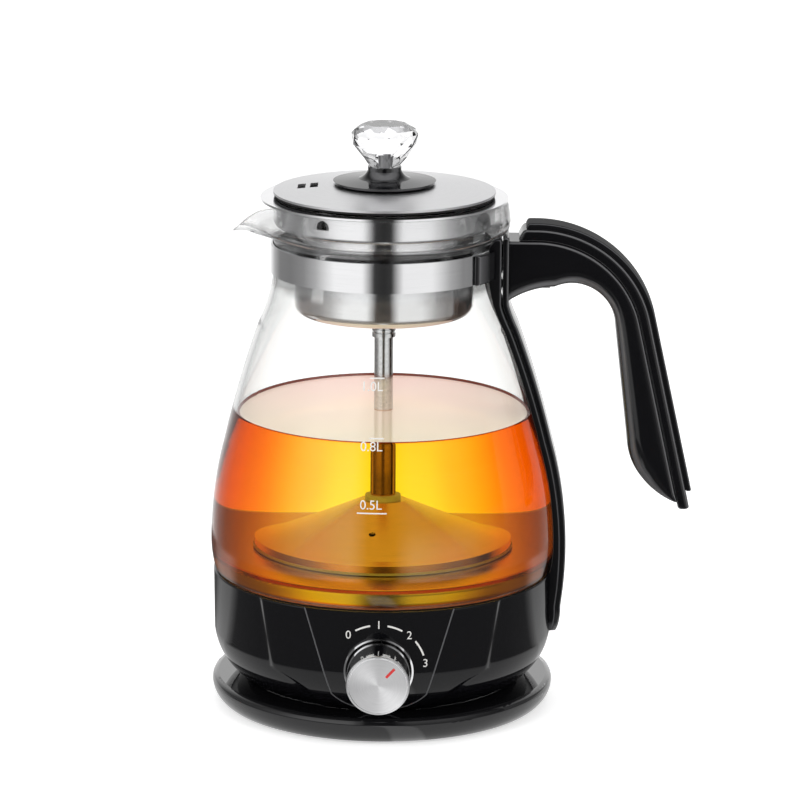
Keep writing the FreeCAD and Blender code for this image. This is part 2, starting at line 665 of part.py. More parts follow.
def knob_turn():
    """The turn that lays +Z along the knob's axis, outwards and slightly down."""
    return Vector(1, 0, 0), 90 + mm.knob_tilt


def along_knob(thing, out=0):
    """Place an object that was made along +Z on the knob's axis."""
    return put(thing, *knob_point(as_size(out)), knob_turn())


def cover_radius():
    """Radius of the cover that closes the housing's foot."""
    return mm.housing_foot - mm.housing_lip


def panel_prism(label, grow):
    """Prism of the panel's tongue-shaped front view, grown sideways and downwards."""
    rise = mm.panel_low_height - mm.panel_tip
    half = mm.panel_low_half + grow
    curve = (half * half + rise * rise) / (2 * rise)
    knee = mm.panel_low_height - grow
    return padded(label, [
        (-mm.panel_half_width - grow, mm.housing_height), (-half, knee),
        (0, mm.panel_tip - grow, curve, LEFT), (half, knee, curve, LEFT),
        (mm.panel_half_width + grow, mm.housing_height)],
        "XZ_Plane", mm.housing_radius + BEYOND)


def make_housing():
    """Black shell with front and back lobes, the glass seat and the knob's well."""
    wall = mm.housing_wall
    low, top = kettle_low(), mm.housing_height
    inner = turn_back(housing_side(-wall))
    body = turned("housing shell", housing_side(0) + [
        (seat_radius(), top), (seat_radius(), seat_floor()),
        (mm.housing_radius - wall, seat_floor()), inner[1],
        (cover_radius(), low + mm.cover_thickness, mm.housing_curve - wall, RIGHT),
        (cover_radius(), low)])
    skin = turned("lobe skin", housing_side(mm.lobe_rise)
                  + turn_back(housing_side(-mm.lobe_root)))
    front = cut("front lobe cut", common("front lobe", skin, lobe_prism("front lobe prism", -1)),
                panel_prism("panel recess", mm.panel_clearance))
    back = common("back lobe", skin, lobe_prism("back lobe prism", 1))
    boss = along_knob(cylinder("switch boss", mm.switch_boss, mm.switch_depth - mm.dial_depth),
                      -mm.switch_depth)
    core = turned("housing core", turn_back(housing_side(-mm.core_inset))
                  + [(0, low), (0, top)])
    inner_boss = common("switch boss inside", boss, core)
    well = along_knob(cylinder("knob well", mm.dial_radius, BEYOND), -mm.dial_depth)
    bushing = along_knob(cylinder("bushing hole", mm.bushing_radius, 2 * BEYOND), -BEYOND)
    strap_hole = cylinder("strap screw hole", mm.screw_radius, 2 * BEYOND,
                          mm.housing_radius - BEYOND, 0, mm.strap_screw_height, along_x())
    ribs, pilots = make_ribs(core)
    node(cut("housing cut", fuse("housing joined", body, front, back, inner_boss, *ribs),
             well, bushing, strap_hole, *pilots), "base_housing")


def make_control_panel():
    """Tongue-shaped panel let into the front lobe, with a round hole for the dial."""
    skin = turned("panel skin", housing_side(mm.panel_rise)
                  + turn_back(housing_side(mm.body_gap)))
    well = along_knob(cylinder("panel hole", mm.dial_radius, BEYOND), -mm.dial_depth)
    node(cut("panel cut", common("panel tongue", skin, panel_prism("panel prism", 0)), well),
         "control_panel")


def make_dial_and_switch():
    """Chrome dial ring, its nut, and the rotary switch behind the housing."""
    deep, floor = mm.dial_depth, mm.dial_floor
    cup = mm.dial_radius - mm.dial_wall
    hole = mm.bushing_radius
    dial = turned("dial", [
        (hole, -deep), (mm.dial_radius, -deep), (mm.dial_radius, mm.dial_lip),
        (cup, mm.dial_lip), (cup, floor - deep), (hole, floor - deep)])
    node(along_knob(dial), "dial_ring")
    nut_seat = floor - deep
    nut = cut("nut cut", primitive("Prism", "nut prism", Polygon=6, Circumradius=mm.nut_radius,
                                   Height=mm.nut_height),
              cylinder("nut bore", mm.bushing_radius, mm.nut_height))
    node(along_knob(nut, nut_seat), "switch_nut")
    back = -mm.switch_depth
    bore = mm.shaft_radius + mm.shaft_fit
    end = nut_seat + mm.nut_height + mm.bushing_proud
    seat = back - mm.shaft_seat_depth
    switch = turned("switch", [
        (bore, seat), (bore, end), (mm.bushing_radius, end), (mm.bushing_radius, back),
        (mm.switch_radius, back), (mm.switch_radius, back - mm.switch_length),
        (0, back - mm.switch_length), (0, seat)])
    node(along_knob(switch), "rotary_switch")


def make_ribs(core):
    """Radial ribs inside the housing's foot, each with a pilot hole for a cover screw."""
    low = kettle_low() + mm.cover_thickness
    ribs, pilots = [], []
    for degrees in COVER_SCREW_DIRECTIONS:
        x, y = around(mm.cover_screw_circle, degrees)
        bar = block("rib bar", mm.rib_length, 2 * mm.post_radius, mm.rib_height,
                    mm.cover_screw_circle - mm.post_radius, -mm.post_radius, low)
        ribs.append(common("rib", put(group("rib turned", bar),
                                      turn=(Vector(0, 0, 1), degrees)), core))
        pilots.append(cylinder("rib pilot", mm.screw_radius, mm.rib_height - mm.pilot_floor,
                               x, y, low))
    return ribs, pilots


def board_corners():
    """Places of the board's four screws."""
    x = mm.board_width / 2 - mm.board_hole_inset
    y = mm.board_depth / 2 - mm.board_hole_inset
    return [(across * x, mm.board_offset + along * y) for across in (-1, 1) for along in (-1, 1)]


def make_bottom_cover():
    """Plate that closes the housing from below, with the posts for the board."""
    low, thick = kettle_low(), mm.cover_thickness
    socket = mm.boss_radius + mm.shutter_width + mm.socket_clearance
    plate = ring("cover plate", cover_radius(), socket, thick, low)
    posts, pilots, screws, board_screws = [], [], [], []
    for x, y in board_corners():
        posts.append(cylinder("board post", mm.post_radius, mm.board_height - low - thick,
                              x, y, low + thick))
        pilots.append(cylinder("board pilot", mm.screw_radius, mm.board_pilot_depth, x, y,
                               mm.board_height - mm.board_pilot_depth))
        board_screws.append(screw("board screw", x, y, mm.board_height + mm.board_thickness,
                                  mm.board_thickness + mm.board_screw_bite, head_up=True))
    sink = mm.cover_screw_sink
    for degrees in COVER_SCREW_DIRECTIONS:
        x, y = around(mm.cover_screw_circle, degrees)
        pilots.append(cylinder("cover hole", mm.screw_radius + mm.screw_clearance, thick,
                               x, y, low))
        pilots.append(cylinder("cover sink", mm.screw_head + mm.screw_clearance, sink,
                               x, y, low))
        screws.append(screw("cover screw", x, y, low + sink, thick + mm.cover_screw_bite))
    node(cut("cover cut", fuse("cover joined", plate, *posts), *pilots), "bottom_cover")
    node(group("cover screw set", *screws), "bottom_cover_screws")
    node(group("board screw set", *board_screws), "board_screws")


def make_upper_connector():
    """Socket that drops over the connector boss, with ring pins."""
    low = kettle_low() + mm.cover_thickness
    inner = mm.boss_radius + mm.socket_clearance
    outer = inner + mm.socket_wall + mm.shutter_width
    roof = mm.boss_height + mm.socket_roof_gap
    top = low + mm.socket_height
    room = low + mm.shutter_headroom
    flange_top = low + mm.socket_flange_height
    socket = turned("socket", [
        (0, roof), (inner, roof), (inner, room), (outer, room), (outer, low),
        (outer + mm.socket_flange, low), (outer + mm.socket_flange, flange_top),
        (outer, flange_top), (outer - mm.socket_taper, top), (0, top)])
    circle = outer + mm.socket_flange / 2
    holes, screws = [], []
    for degrees in FLANGE_SCREW_DIRECTIONS:
        x, y = around(circle, degrees)
        holes.append(cylinder("flange hole", mm.small_screw_radius, mm.socket_flange_height,
                              x, y, low))
        screws.append(screw("flange screw", x, y, flange_top, mm.socket_flange_height,
                            head_up=True, radius=mm.small_screw_radius,
                            head=mm.small_screw_head))
    node(cut("socket cut", socket, *holes), "upper_connector")
    node(group("flange screw set", *screws), "connector_screws")
    pin_low = mm.groove_floor + mm.contact_height + mm.body_gap
    tall = roof - pin_low
    slack = mm.pin_slack
    pins = [cylinder("centre pin", mm.pin_radius - slack, tall, 0, 0, pin_low)]
    for radius in (mm.inner_ring_radius, mm.outer_ring_radius):
        pins.append(ring("ring pin", radius + mm.ring_wall - slack, radius + slack, tall,
                         pin_low))
    node(group("pin set", *pins), "connector_pins")


def make_board():
    """Circuit board with its relay."""
    z = mm.board_height
    board = block("board", mm.board_width, mm.board_depth, mm.board_thickness,
                  mm.board_width / -2, mm.board_offset - mm.board_depth / 2, z)
    holes = [cylinder("board hole", mm.screw_radius + mm.screw_clearance, mm.board_thickness,
                      x, y, z) for x, y in board_corners()]
    node(cut("board cut", board, *holes), "control_board")
    relay = block("relay", mm.relay_width, mm.relay_depth, mm.relay_height,
                  mm.relay_width / -2, mm.board_offset - mm.relay_depth / 2,
                  z + mm.board_thickness)
    node(relay, "board_relay")


# ---------------------------------------------------------------- glass and heater

def glass_side(grow):
    """The jug's side from its foot up to the top of the neck, grown outwards."""
    return [
        (mm.foot_glass_radius + grow, glass_foot()),
        (mm.belly_radius + grow, mm.belly_height, mm.foot_curve + grow, LEFT),
        (mm.waist_radius + grow, mm.waist_height, mm.belly_curve + grow, LEFT),
        (mm.shoulder_radius + grow, mm.shoulder_height, mm.waist_curve + grow, LEFT),
        (mm.neck_radius + grow, mm.neck_bottom, mm.shoulder_curve - grow, RIGHT),
        (mm.neck_radius + grow, mm.neck_top)]


def flare(grow):
    """The S-shaped flare above the neck and the rim, grown outwards."""
    wide = mm.flare_radius - mm.neck_radius
    tall = mm.flare_height - mm.neck_top
    curve = (wide * wide + tall * tall) / (4 * wide)
    middle = (mm.neck_radius + wide / 2 + grow, mm.neck_top + tall / 2)
    return [middle + (curve, RIGHT),
            (mm.flare_radius + grow, mm.flare_height, curve, LEFT),
            (mm.rim_radius + grow, mm.rim_height, mm.rim_curve, LEFT)]


def seat_floor():
    """Height of the step in the housing that carries the pan and the seal."""
    return mm.housing_height - mm.seat_depth


def seat_radius():
    """Radius of the step in the housing that carries the pan and the seal."""
    return mm.housing_radius - mm.seat_width


def glass_foot():
    """Height of the lower edge of the glass, on top of its seal."""
    return seat_floor() + mm.pan_wall + mm.seal_height


def spout_wedge(label, root_half, tip_half, root_low, tip_low, root_high, tip_high, start, end):
    """A tapered block along -X, from a wide root to a narrow tip."""
    wedge = primitive("Wedge", label, Ymin=start, Ymax=end, Xmin=-root_half, Xmax=root_half,
                      X2min=-tip_half, X2max=tip_half, Zmin=root_low, Zmax=root_high,
                      Z2min=tip_low, Z2max=tip_high)
    return put(wedge, turn=(Vector(0, 0, 1), 90))


def make_glass_jug():
    """Blown glass wall with a beak at the rim, open at the bottom and the top."""
    wall = mm.glass_wall
    outer = turned("glass outside", [(0, glass_foot())] + glass_side(0) + flare(0)
                   + [(0, mm.rim_height)])
    inner = turned("glass inside", [(0, glass_foot())] + glass_side(-wall) + flare(-wall)
                   + [(0, mm.rim_height)])
    start, end = mm.neck_radius, mm.spout_reach
    fall = (mm.rim_height - mm.spout_tip_high) / (end - mm.rim_radius)
    root_high = mm.rim_height + fall * (mm.rim_radius - start)
    beak = spout_wedge("beak outside", mm.spout_root_half, mm.spout_tip_half,
                       mm.spout_root_low, mm.spout_tip_low, root_high, mm.spout_tip_high,
                       start, end)
    channel = spout_wedge("beak inside", mm.spout_root_half - wall,
                          mm.spout_tip_half - mm.spout_tip_wall,
                          mm.spout_root_low + wall, mm.spout_tip_low + mm.spout_tip_wall,
                          root_high + BEYOND, mm.spout_tip_high + BEYOND,
                          start - mm.spout_overrun, end)
    above = cylinder("above the rim", mm.spout_reach + BEYOND, BEYOND, 0, 0, mm.rim_height)
    node(cut("glass cut", fuse("glass joined", outer, beak), inner, channel, above),
         "glass_jug")
    low = seat_floor() + mm.pan_wall
    node(ring("jug seal ring", seat_radius(), seat_radius() - mm.seal_width, mm.seal_height,
              low), "jug_seal")


def make_heater():
    """Steel pan, spreader, ring element, thermostats and fuse."""
    low, sheet, top = seat_floor(), mm.pan_wall, mm.pan_height
    edge, corner = seat_radius(), mm.pan_corner
    pan = turned("pan", [
        (0, top), (0, top - sheet), (mm.pan_radius - sheet - corner, top - sheet),
        (mm.pan_radius - sheet, top - sheet - corner, corner, RIGHT),
        (mm.pan_radius - sheet, low), (edge, low), (edge, low + sheet),
        (mm.pan_radius, low + sheet), (mm.pan_radius, top - corner - sheet),
        (mm.pan_radius - corner - sheet, top, corner + sheet, LEFT)])
    node(pan, "heater_pan")
    under = top - sheet
    plate_low = under - mm.heat_plate_thickness
    node(cylinder("spreader", mm.heat_plate_radius, mm.heat_plate_thickness, 0, 0, plate_low),
         "heat_plate")
    centre = plate_low - mm.element_radius
    half_gap = mm.element_opening / 2
    coil = primitive("Torus", "element coil", Radius1=mm.element_circle,
                     Radius2=mm.element_radius, Angle3=360 - mm.element_opening)
    put(coil, 0, 0, centre, (Vector(0, 0, 1), 90 + half_gap))
    ends, leads = [], []
    board_top = mm.board_height + mm.board_thickness
    for degrees in (90 - half_gap, 90 + half_gap):
        x, y = around(mm.element_circle, degrees)
        ends.append(cylinder("cold end", mm.element_radius, mm.cold_end_length, x, y,
                             centre - mm.cold_end_length))
        ends.append(put(primitive("Sphere", "element elbow", Radius=mm.element_radius),
                        x, y, centre))
        leads.append(cylinder("element lead", mm.lead_radius,
                              centre - mm.cold_end_length - board_top, x, y, board_top))
    node(fuse("element joined", coil, *ends), "heating_element")
    socket_top = kettle_low() + mm.cover_thickness + mm.socket_height
    for side in (-1, 0, 1):
        leads.append(cylinder("connector lead", mm.lead_radius, mm.board_height - socket_top,
                              side * mm.lead_pitch,
                              mm.board_offset - mm.board_depth / 2 + mm.lead_inset, socket_top))
    node(group("lead set", *leads), "lead_wires")
    discs = []
    for side in (-1, 1):
        discs.append(cylinder("snap disc", mm.thermostat_radius, mm.thermostat_height,
                              side * mm.thermostat_spread, -mm.thermostat_offset,
                              plate_low - mm.thermostat_height))
    node(group("thermostat set", *discs), "thermostats")
    fuse_z = plate_low - mm.fuse_radius
    node(cylinder("fuse", mm.fuse_radius, mm.fuse_length, mm.fuse_length / -2, mm.fuse_offset,
                  fuse_z, along_x()), "thermal_fuse")


# ---------------------------------------------------------------- control knob

def make_knob():
    """Turned knob with a metal face, a red index line and the switch's shaft."""
    bore = mm.shaft_radius
    back = mm.dial_floor - mm.dial_depth + mm.knob_gap
    front = mm.knob_length
    cavity = mm.knob_radius - mm.knob_wall
    edge = mm.knob_edge
    floor = back + mm.knob_socket_depth
    body = turned("knob turned", [
        (bore, floor), (cavity, floor), (cavity, back), (mm.knob_radius, back),
        (mm.knob_radius, front - edge), (mm.knob_radius - edge, front),
        (mm.face_radius, front), (mm.face_radius, front - mm.face_thickness),
        (bore, front - mm.face_thickness)])
    node(along_knob(body), "knob_body")
    node(along_knob(cylinder("face disc", mm.face_radius, mm.face_thickness),
                    front - mm.face_thickness), "knob_face")
    line = block("pointer bar", mm.pointer_length, mm.pointer_width, mm.pointer_rise,
                 mm.pointer_out - mm.pointer_length, mm.pointer_width / -2, 0)
    turned_line = put(group("pointer turned", line), turn=(Vector(0, 0, 1),
                                                          90 - mm.pointer_turn))
    node(along_knob(group("pointer placed", turned_line), front), "knob_pointer")
    start = mm.shaft_end_gap - mm.switch_depth - mm.shaft_seat_depth
    node(along_knob(cylinder("shaft bar", bore, front - mm.face_thickness - start), start),
         "switch_shaft")


# ---------------------------------------------------------------- band, strap and handle

def make_neck_band():
    """Steel band round the neck, open behind the post, with two tabs and a cross screw."""
    inner = mm.neck_radius + mm.band_gap
    outer = inner + mm.band_thickness
    tall = mm.band_high - mm.band_low
    opening = mm.band_opening_angle
    about = (Vector(0, 0, 1), opening)
    strip = cut("band strip",
                cylinder("band disc", outer, tall, 0, 0, mm.band_low, about, 360 - 2 * opening),
                cylinder("band bore", inner, tall, 0, 0, mm.band_low))
    tab_tall = mm.tab_high - mm.tab_low
    reach = mm.strap_half_width - mm.tab_spread - mm.tab_root_gap
    tabs = []
    for side in (-1, 1):
        spread = mm.tab_spread if side > 0 else -1 * (mm.tab_spread + mm.band_thickness)
        tabs.append(block("band tab", mm.band_thickness + mm.tab_length, mm.band_thickness,
                          tab_tall, inner, spread, mm.tab_low))
        arm_start = mm.tab_spread if side > 0 else -1 * (mm.tab_spread + reach)
        arm = block("band arm", outer, reach, tab_tall, 0, arm_start, mm.tab_low)
        sleeve = cut("arm ring", cylinder("arm outside", outer, tab_tall, 0, 0, mm.tab_low),
                     cylinder("arm bore", inner, tab_tall, 0, 0, mm.tab_low))
        tabs.append(common("band arm curved", sleeve, arm))
    x = outer + mm.tab_length / 2
    middle = (mm.tab_low + mm.tab_high) / 2
    outside = mm.tab_spread + mm.band_thickness
    hole = cylinder("tab hole", mm.small_screw_radius + mm.small_screw_clearance, 2 * BEYOND,
                    x, -BEYOND, middle, along_y())
    node(cut("band cut", fuse("band joined", strip, *tabs), hole), "neck_band")
    nut_tall = mm.band_nut_height
    seat = 2 * outside + nut_tall
    bolt = turned("band bolt", [
        (0, 0), (mm.small_screw_radius, 0), (mm.small_screw_radius, seat),
        (mm.small_screw_head, seat), (mm.small_screw_head, seat + mm.band_screw_head),
        (0, seat + mm.band_screw_head)])
    put(bolt, x, outside + nut_tall, middle, (Vector(1, 0, 0), 90))
    nut = cut("band nut", cylinder("nut disc", mm.small_screw_head, nut_tall),
              cylinder("nut hole", mm.small_screw_radius, nut_tall))
    put(nut, x, outside + nut_tall, middle, (Vector(1, 0, 0), 90))
    node(group("band screw set", bolt, nut), "band_screw")


def tongue(label, half_top, half_low, end_height):
    """Prism of the strap's side view from +X: straight at the post, tapered, round at its end."""
    top = mm.post_top + BEYOND
    knee = mm.strap_low_height
    sag = knee - end_height
    curve = (half_low * half_low + sag * sag) / (2 * sag)
    return padded(label, [
        (-half_top, top), (-half_top, mm.post_low), (-half_low, knee),
        (0, end_height, curve, LEFT), (half_low, knee, curve, LEFT),
        (half_top, mm.post_low), (half_top, top)],
        "YZ_Plane", mm.housing_radius, offset=mm.housing_radius / 2)


def strap_start():
    """Height at which the strap's turned bodies start, below its rounded end."""
    return mm.strap_end_height - mm.strap_overrun


def strap_low_steps(grow):
    """The strap's outer side below the glass's belly, from its end upwards."""
    return [(mm.housing_waist + mm.strap_stand_off + grow, strap_start()),
            (mm.strap_low_outer - mm.cover_depth + grow, mm.strap_low_mid,
             mm.strap_low_curve, LEFT)]


def outer_steps(grow, from_belly):
    """The strap's outer side from the belly up to the top of the post."""
    body = glass_side(from_belly)
    return body[1:4] + [(mm.post_outer + grow, mm.post_low, mm.shoulder_curve, RIGHT),
                        (mm.post_outer + grow, mm.post_top)]


def make_handle_frame():
    """Post, ears and strap channel in one moulding that follows the glass."""
    gap = mm.frame_gap
    inner = glass_side(gap)
    low_inner = mm.housing_radius + gap
    inside = turn_back([(low_inner, strap_start()), (low_inner, seat_floor())] + inner[1:]
                       + [(mm.neck_radius + gap + mm.lip_flare, mm.post_top)])
    outside = strap_low_steps(0) + outer_steps(0, gap + mm.frame_depth)
    channel = common("strap channel", turned("channel turned", outside + inside),
                     tongue("channel tongue", mm.strap_half_width, mm.strap_low_half,
                            mm.strap_end_height))
    ear_inner = mm.neck_radius + mm.band_gap + mm.band_thickness
    tall = mm.band_high - mm.band_low
    about = (Vector(0, 0, 1), -mm.ear_angle)
    ears = cut("ears", cylinder("ear disc", mm.ear_outer, tall, 0, 0, mm.band_low, about,
                                2 * mm.ear_angle),
               cylinder("ear bore", ear_inner, tall, 0, 0, mm.band_low))
    room = cut("band room", cylinder("room disc", ear_inner, tall, 0, 0, mm.band_low),
               cylinder("room core", mm.neck_radius, tall, 0, 0, mm.band_low))
    half = mm.tab_spread + mm.tab_pocket
    pocket = block("tab pocket", mm.post_outer - mm.neck_radius, 2 * half,
                   mm.tab_high - mm.tab_low + 2 * mm.tab_room, mm.neck_radius, -half,
                   mm.tab_low - mm.tab_room)
    holes = []
    for height in (mm.handle_screw_high, mm.handle_screw_low):
        holes.append(cylinder("frame screw hole", mm.handle_screw_radius, BEYOND,
                              mm.neck_radius, 0, height, along_x()))
        holes.append(cylinder("frame head hole", mm.screw_head + 2 * mm.screw_clearance,
                              mm.handle_screw_seat, mm.neck_radius, 0, height, along_x()))
    strap_hole = cylinder("strap pilot", mm.screw_radius,
                          mm.frame_gap + mm.strap_screw_bite + mm.screw_clearance,
                          mm.housing_radius, 0, mm.strap_screw_height, along_x())
    node(cut("frame cut", fuse("frame joined", channel, ears), room, pocket, strap_hole,
             *holes), "handle_frame")


def make_strap_cover():
    """Outer strip that closes the channel from the post to the housing."""
    gap = mm.frame_gap
    inside = turn_back(strap_low_steps(0) + outer_steps(0, gap + mm.frame_depth))
    depth = mm.cover_depth
    outside = strap_low_steps(depth) + outer_steps(depth, gap + mm.frame_depth + depth)
    strip = common("cover strip", turned("cover turned", outside + inside),
                   tongue("cover tongue", mm.strap_half_width - mm.strap_cover_step,
                          mm.strap_low_half - mm.strap_cover_step / 2,
                          mm.strap_end_height + mm.strap_end_step))
    holes = []
    for height in (mm.handle_screw_high, mm.handle_screw_low):
        holes.append(cylinder("cover screw hole", mm.handle_screw_radius, BEYOND,
                              mm.neck_radius, 0, height, along_x()))
    node(cut("strip cut", strip, *holes), "strap_cover")
    inner_face = mm.housing_waist - mm.housing_wall
    length = mm.housing_radius - inner_face + mm.frame_gap + mm.strap_screw_bite
    bolt = turned("strap bolt", [
        (0, -mm.screw_head_height), (mm.screw_head, -mm.screw_head_height), (mm.screw_head, 0),
        (mm.screw_radius, 0), (mm.screw_radius, length), (0, length)])
    node(put(bolt, inner_face, 0, mm.strap_screw_height, along_x()), "strap_screw")


def hook_steps(inset, start_x, end_height):
    """A line of the hook handle, inset from its outer edge: along the top, round and down."""
    radius = mm.hook_radius - inset
    centre_z = mm.hook_top - mm.hook_radius
    knee_x = mm.hook_left + radius * sine(mm.hook_fall_angle)
    knee_z = centre_z + radius * cosine(mm.hook_fall_angle)
    slope = cosine(mm.hook_fall_angle) / sine(mm.hook_fall_angle)
    end_x = knee_x + (knee_z - end_height) * slope
    return [(start_x, centre_z + radius), (mm.hook_left, centre_z + radius),
            (knee_x, knee_z, radius, RIGHT), (end_x, end_height)]


def rounded(label, body, radius, pick):
    """Round the edges of a body that pick chooses."""
    doc.recompute()
    names = [f"Edge{i}" for i, edge in enumerate(body.Shape.Edges, start=1) if pick(edge)]
    solid = body.Tip
    feature = body.newObject("PartDesign::Fillet", label)
    feature.Base = (solid, names)
    bind(feature, "Radius", radius)
    body.Tip = feature
    return body


def in_plane(edge, half):
    """Whether an edge lies in one of the two planes that far from the handle's middle."""
    box = edge.BoundBox
    return box.YLength < 1e-6 and abs(abs(box.YMax) - half) < 1e-6


def handle_layer(label, outer, inner, width, round_off):
    """One layer of the handle between two lines of the hook, its long edges rounded."""
    body = padded(label, outer + turn_back(inner), "XZ_Plane", width, both_ways=True)
    half = as_size(width).value / 2

    def long_edge(edge):
        return in_plane(edge, half) and edge.Length > width.value / 2

    return rounded("Rounding", body, round_off, long_edge)


def make_handle():
    """Grip, spine and cap of the hook, screwed to the post."""
    cap_in = mm.cap_depth
    spine_in = mm.cap_depth + mm.spine_depth
    cap = handle_layer("cap layer", hook_steps(0, mm.cap_start, mm.cap_end),
                       hook_steps(cap_in, mm.cap_start - mm.end_slope, mm.cap_end),
                       mm.cap_width, mm.cap_round)
    node(cap, "handle_cap")
    spine = handle_layer("spine layer",
                         hook_steps(cap_in, mm.cap_start - mm.end_slope, mm.spine_end),
                         hook_steps(spine_in, mm.spine_start - mm.end_slope, mm.spine_end),
                         mm.spine_width, mm.spine_round)
    node(spine, "handle_spine")
    root_x = mm.post_outer - mm.cover_depth
    hump_wide = mm.grip_hump_length
    hump_chord = hump_wide * hump_wide + mm.grip_hump_fall * mm.grip_hump_fall
    bulge = mm.grip_hump_bulge
    hump_curve = (hump_chord / 4 + bulge * bulge) / (2 * bulge)
    outer = hook_steps(spine_in, root_x, mm.grip_end_height)
    inner = [(root_x, mm.grip_root_low),
             (mm.grip_hump_start, mm.grip_hump_height, mm.grip_root_curve, RIGHT),
             (mm.grip_hump_end, mm.grip_hump_end_height, hump_curve, RIGHT),
             (mm.grip_inner_low, mm.grip_inner_height),
             outer[-1][:2] + (mm.grip_end_curve, LEFT)]
    body = padded("grip layer", outer[:-1] + turn_back(inner), "XZ_Plane", mm.grip_width,
                  both_ways=True)
    half = mm.grip_width.value / 2
    nearly = 1.0

    def inner_edge(edge):
        below = edge.BoundBox.ZMax < mm.grip_hump_height.value + nearly
        inside = edge.BoundBox.XMin < mm.grip_inner_low.value + nearly
        return in_plane(edge, half) and below and inside

    rounded("Rounding", body, mm.grip_round, inner_edge)
    face = cylinder("post face", mm.post_outer + mm.cover_depth, mm.hook_top - mm.post_low
                    + BEYOND, 0, 0, mm.post_low - BEYOND)
    bores, screws = [], []
    reach = mm.handle_screw_length
    for height in (mm.handle_screw_high, mm.handle_screw_low):
        seat = mm.neck_radius + mm.handle_screw_seat
        bores.append(cylinder("grip pilot", mm.handle_screw_radius, reach + mm.pilot_floor,
                              seat, 0, height, along_x()))
        bolt = turned("handle bolt", [
            (0, -mm.screw_head_height), (mm.screw_head, -mm.screw_head_height),
            (mm.screw_head, 0), (mm.handle_screw_radius, 0), (mm.handle_screw_radius, reach),
            (0, reach)])
        screws.append(put(bolt, seat, 0, height, along_x()))
    node(cut("grip cut", body, face, *bores), "handle_grip")
    node(group("handle screw set", *screws), "handle_screws")


# ---------------------------------------------------------------- infuser

def basket_side(grow):
    """The basket's outer side: collar, ledge and cup, down to the start of its bottom corner."""
    corner = mm.collar_corner
    return [(mm.basket_mouth + grow, mm.flange_low),
            (mm.basket_mouth + grow, mm.collar_low + corner),
            (mm.basket_mouth - corner, mm.collar_low - grow, corner + grow, RIGHT),
            (mm.cup_radius + grow, mm.collar_low - grow),
            (mm.cup_radius + grow, mm.cup_bottom + mm.cup_corner)]


def make_basket():
    """Steel basket: flange, collar with outlets, narrower cup and perforated bottom."""
    sheet = mm.basket_wall
    flange_top = mm.flange_low + sheet
    bottom, corner = mm.cup_bottom, mm.cup_corner
    flange = [(mm.flange_radius, mm.flange_low), (mm.flange_radius, flange_top),
              (mm.basket_mouth - sheet, flange_top)]
    shell = turned("basket turned", flange + basket_side(-sheet)[1:] + [
        (mm.cup_radius - corner, bottom + sheet, corner - sheet, RIGHT), (0, bottom + sheet),
        (0, bottom), (mm.cup_radius - corner, bottom),
        (mm.cup_radius, bottom + corner, corner, LEFT)] + turn_back(basket_side(0))[1:])
    holes = [cylinder("tube hole", mm.tube_radius, sheet, 0, 0, bottom)]
    half, sill = mm.outlet_radius, mm.outlet_height - mm.outlet_sill
    for degrees in OUTLET_DIRECTIONS:
        bore = cylinder("outlet bore", half, mm.basket_mouth, 0, 0, mm.outlet_height, along_x())
        above = block("outlet above its sill", mm.basket_mouth, 2 * half,
                      half + mm.outlet_sill, 0, -half, sill)
        holes.append(put(common("side outlet", bore, above), turn=(Vector(0, 0, 1), degrees)))
    for row in DRAIN_ROWS:
        count = DRAINS_PER_RING * row
        for k in range(count):
            x, y = around(mm.drain_pitch * row, 360.0 * k / count)
            holes.append(cylinder("drain hole", mm.drain_radius, sheet, x, y, bottom))
    node(cut("basket cut", shell, *holes), "tea_basket")


def make_riser():
    """Riser tube with its sleeve, nut and spray cap."""
    bore = mm.tube_radius - mm.tube_wall
    low = mm.bell_top - mm.tube_reach
    node(ring("riser", mm.tube_radius, bore, mm.tube_top - low, low), "riser_tube")
    steps = [(mm.tube_radius, mm.sleeve_bottom), (mm.sleeve_radius, mm.sleeve_bottom)]
    depth = mm.sleeve_radius - mm.sleeve_groove
    step = mm.sleeve_pitch / 8
    for k in range(SLEEVE_GROOVES):
        z = mm.sleeve_bottom + mm.sleeve_pitch * (k + 1)
        steps += [(mm.sleeve_radius, z), (depth, z + step), (depth, z + 3 * step),
                  (mm.sleeve_radius, z + 4 * step)]
    steps += [(mm.sleeve_radius, mm.cup_bottom), (mm.tube_radius, mm.cup_bottom)]
    node(turned("sleeve", steps), "tube_sleeve")
    floor = mm.cup_bottom + mm.basket_wall
    nut = cut("basket nut cut", primitive("Prism", "basket nut prism", Polygon=6,
                                          Circumradius=mm.nut_across, Height=mm.nut_thickness),
              cylinder("basket nut bore", mm.tube_radius, mm.nut_thickness))
    node(put(nut, 0, 0, floor), "basket_nut")
    top = mm.tube_top + mm.cap_gap
    roof = top + mm.tube_wall
    low_cap = roof - mm.cap_height
    collar = low_cap + mm.cap_collar
    inside = mm.cap_radius - mm.tube_wall
    cap = turned("cap", [
        (0, roof), (0, top), (inside, top), (inside, collar), (mm.tube_radius, collar),
        (mm.tube_radius, low_cap), (mm.cap_radius, low_cap), (mm.cap_radius, roof)])
    wide, tall, low_slot = mm.cap_slot_width, mm.cap_slot_height, top - mm.cap_slot_drop
    slots = [block("cap slot", 2 * BEYOND, wide, tall, -BEYOND, -wide / 2, low_slot),
             block("cap cross slot", wide, 2 * BEYOND, tall, -wide / 2, -BEYOND, low_slot)]
    node(cut("cap cut", cap, *slots), "spray_cap")


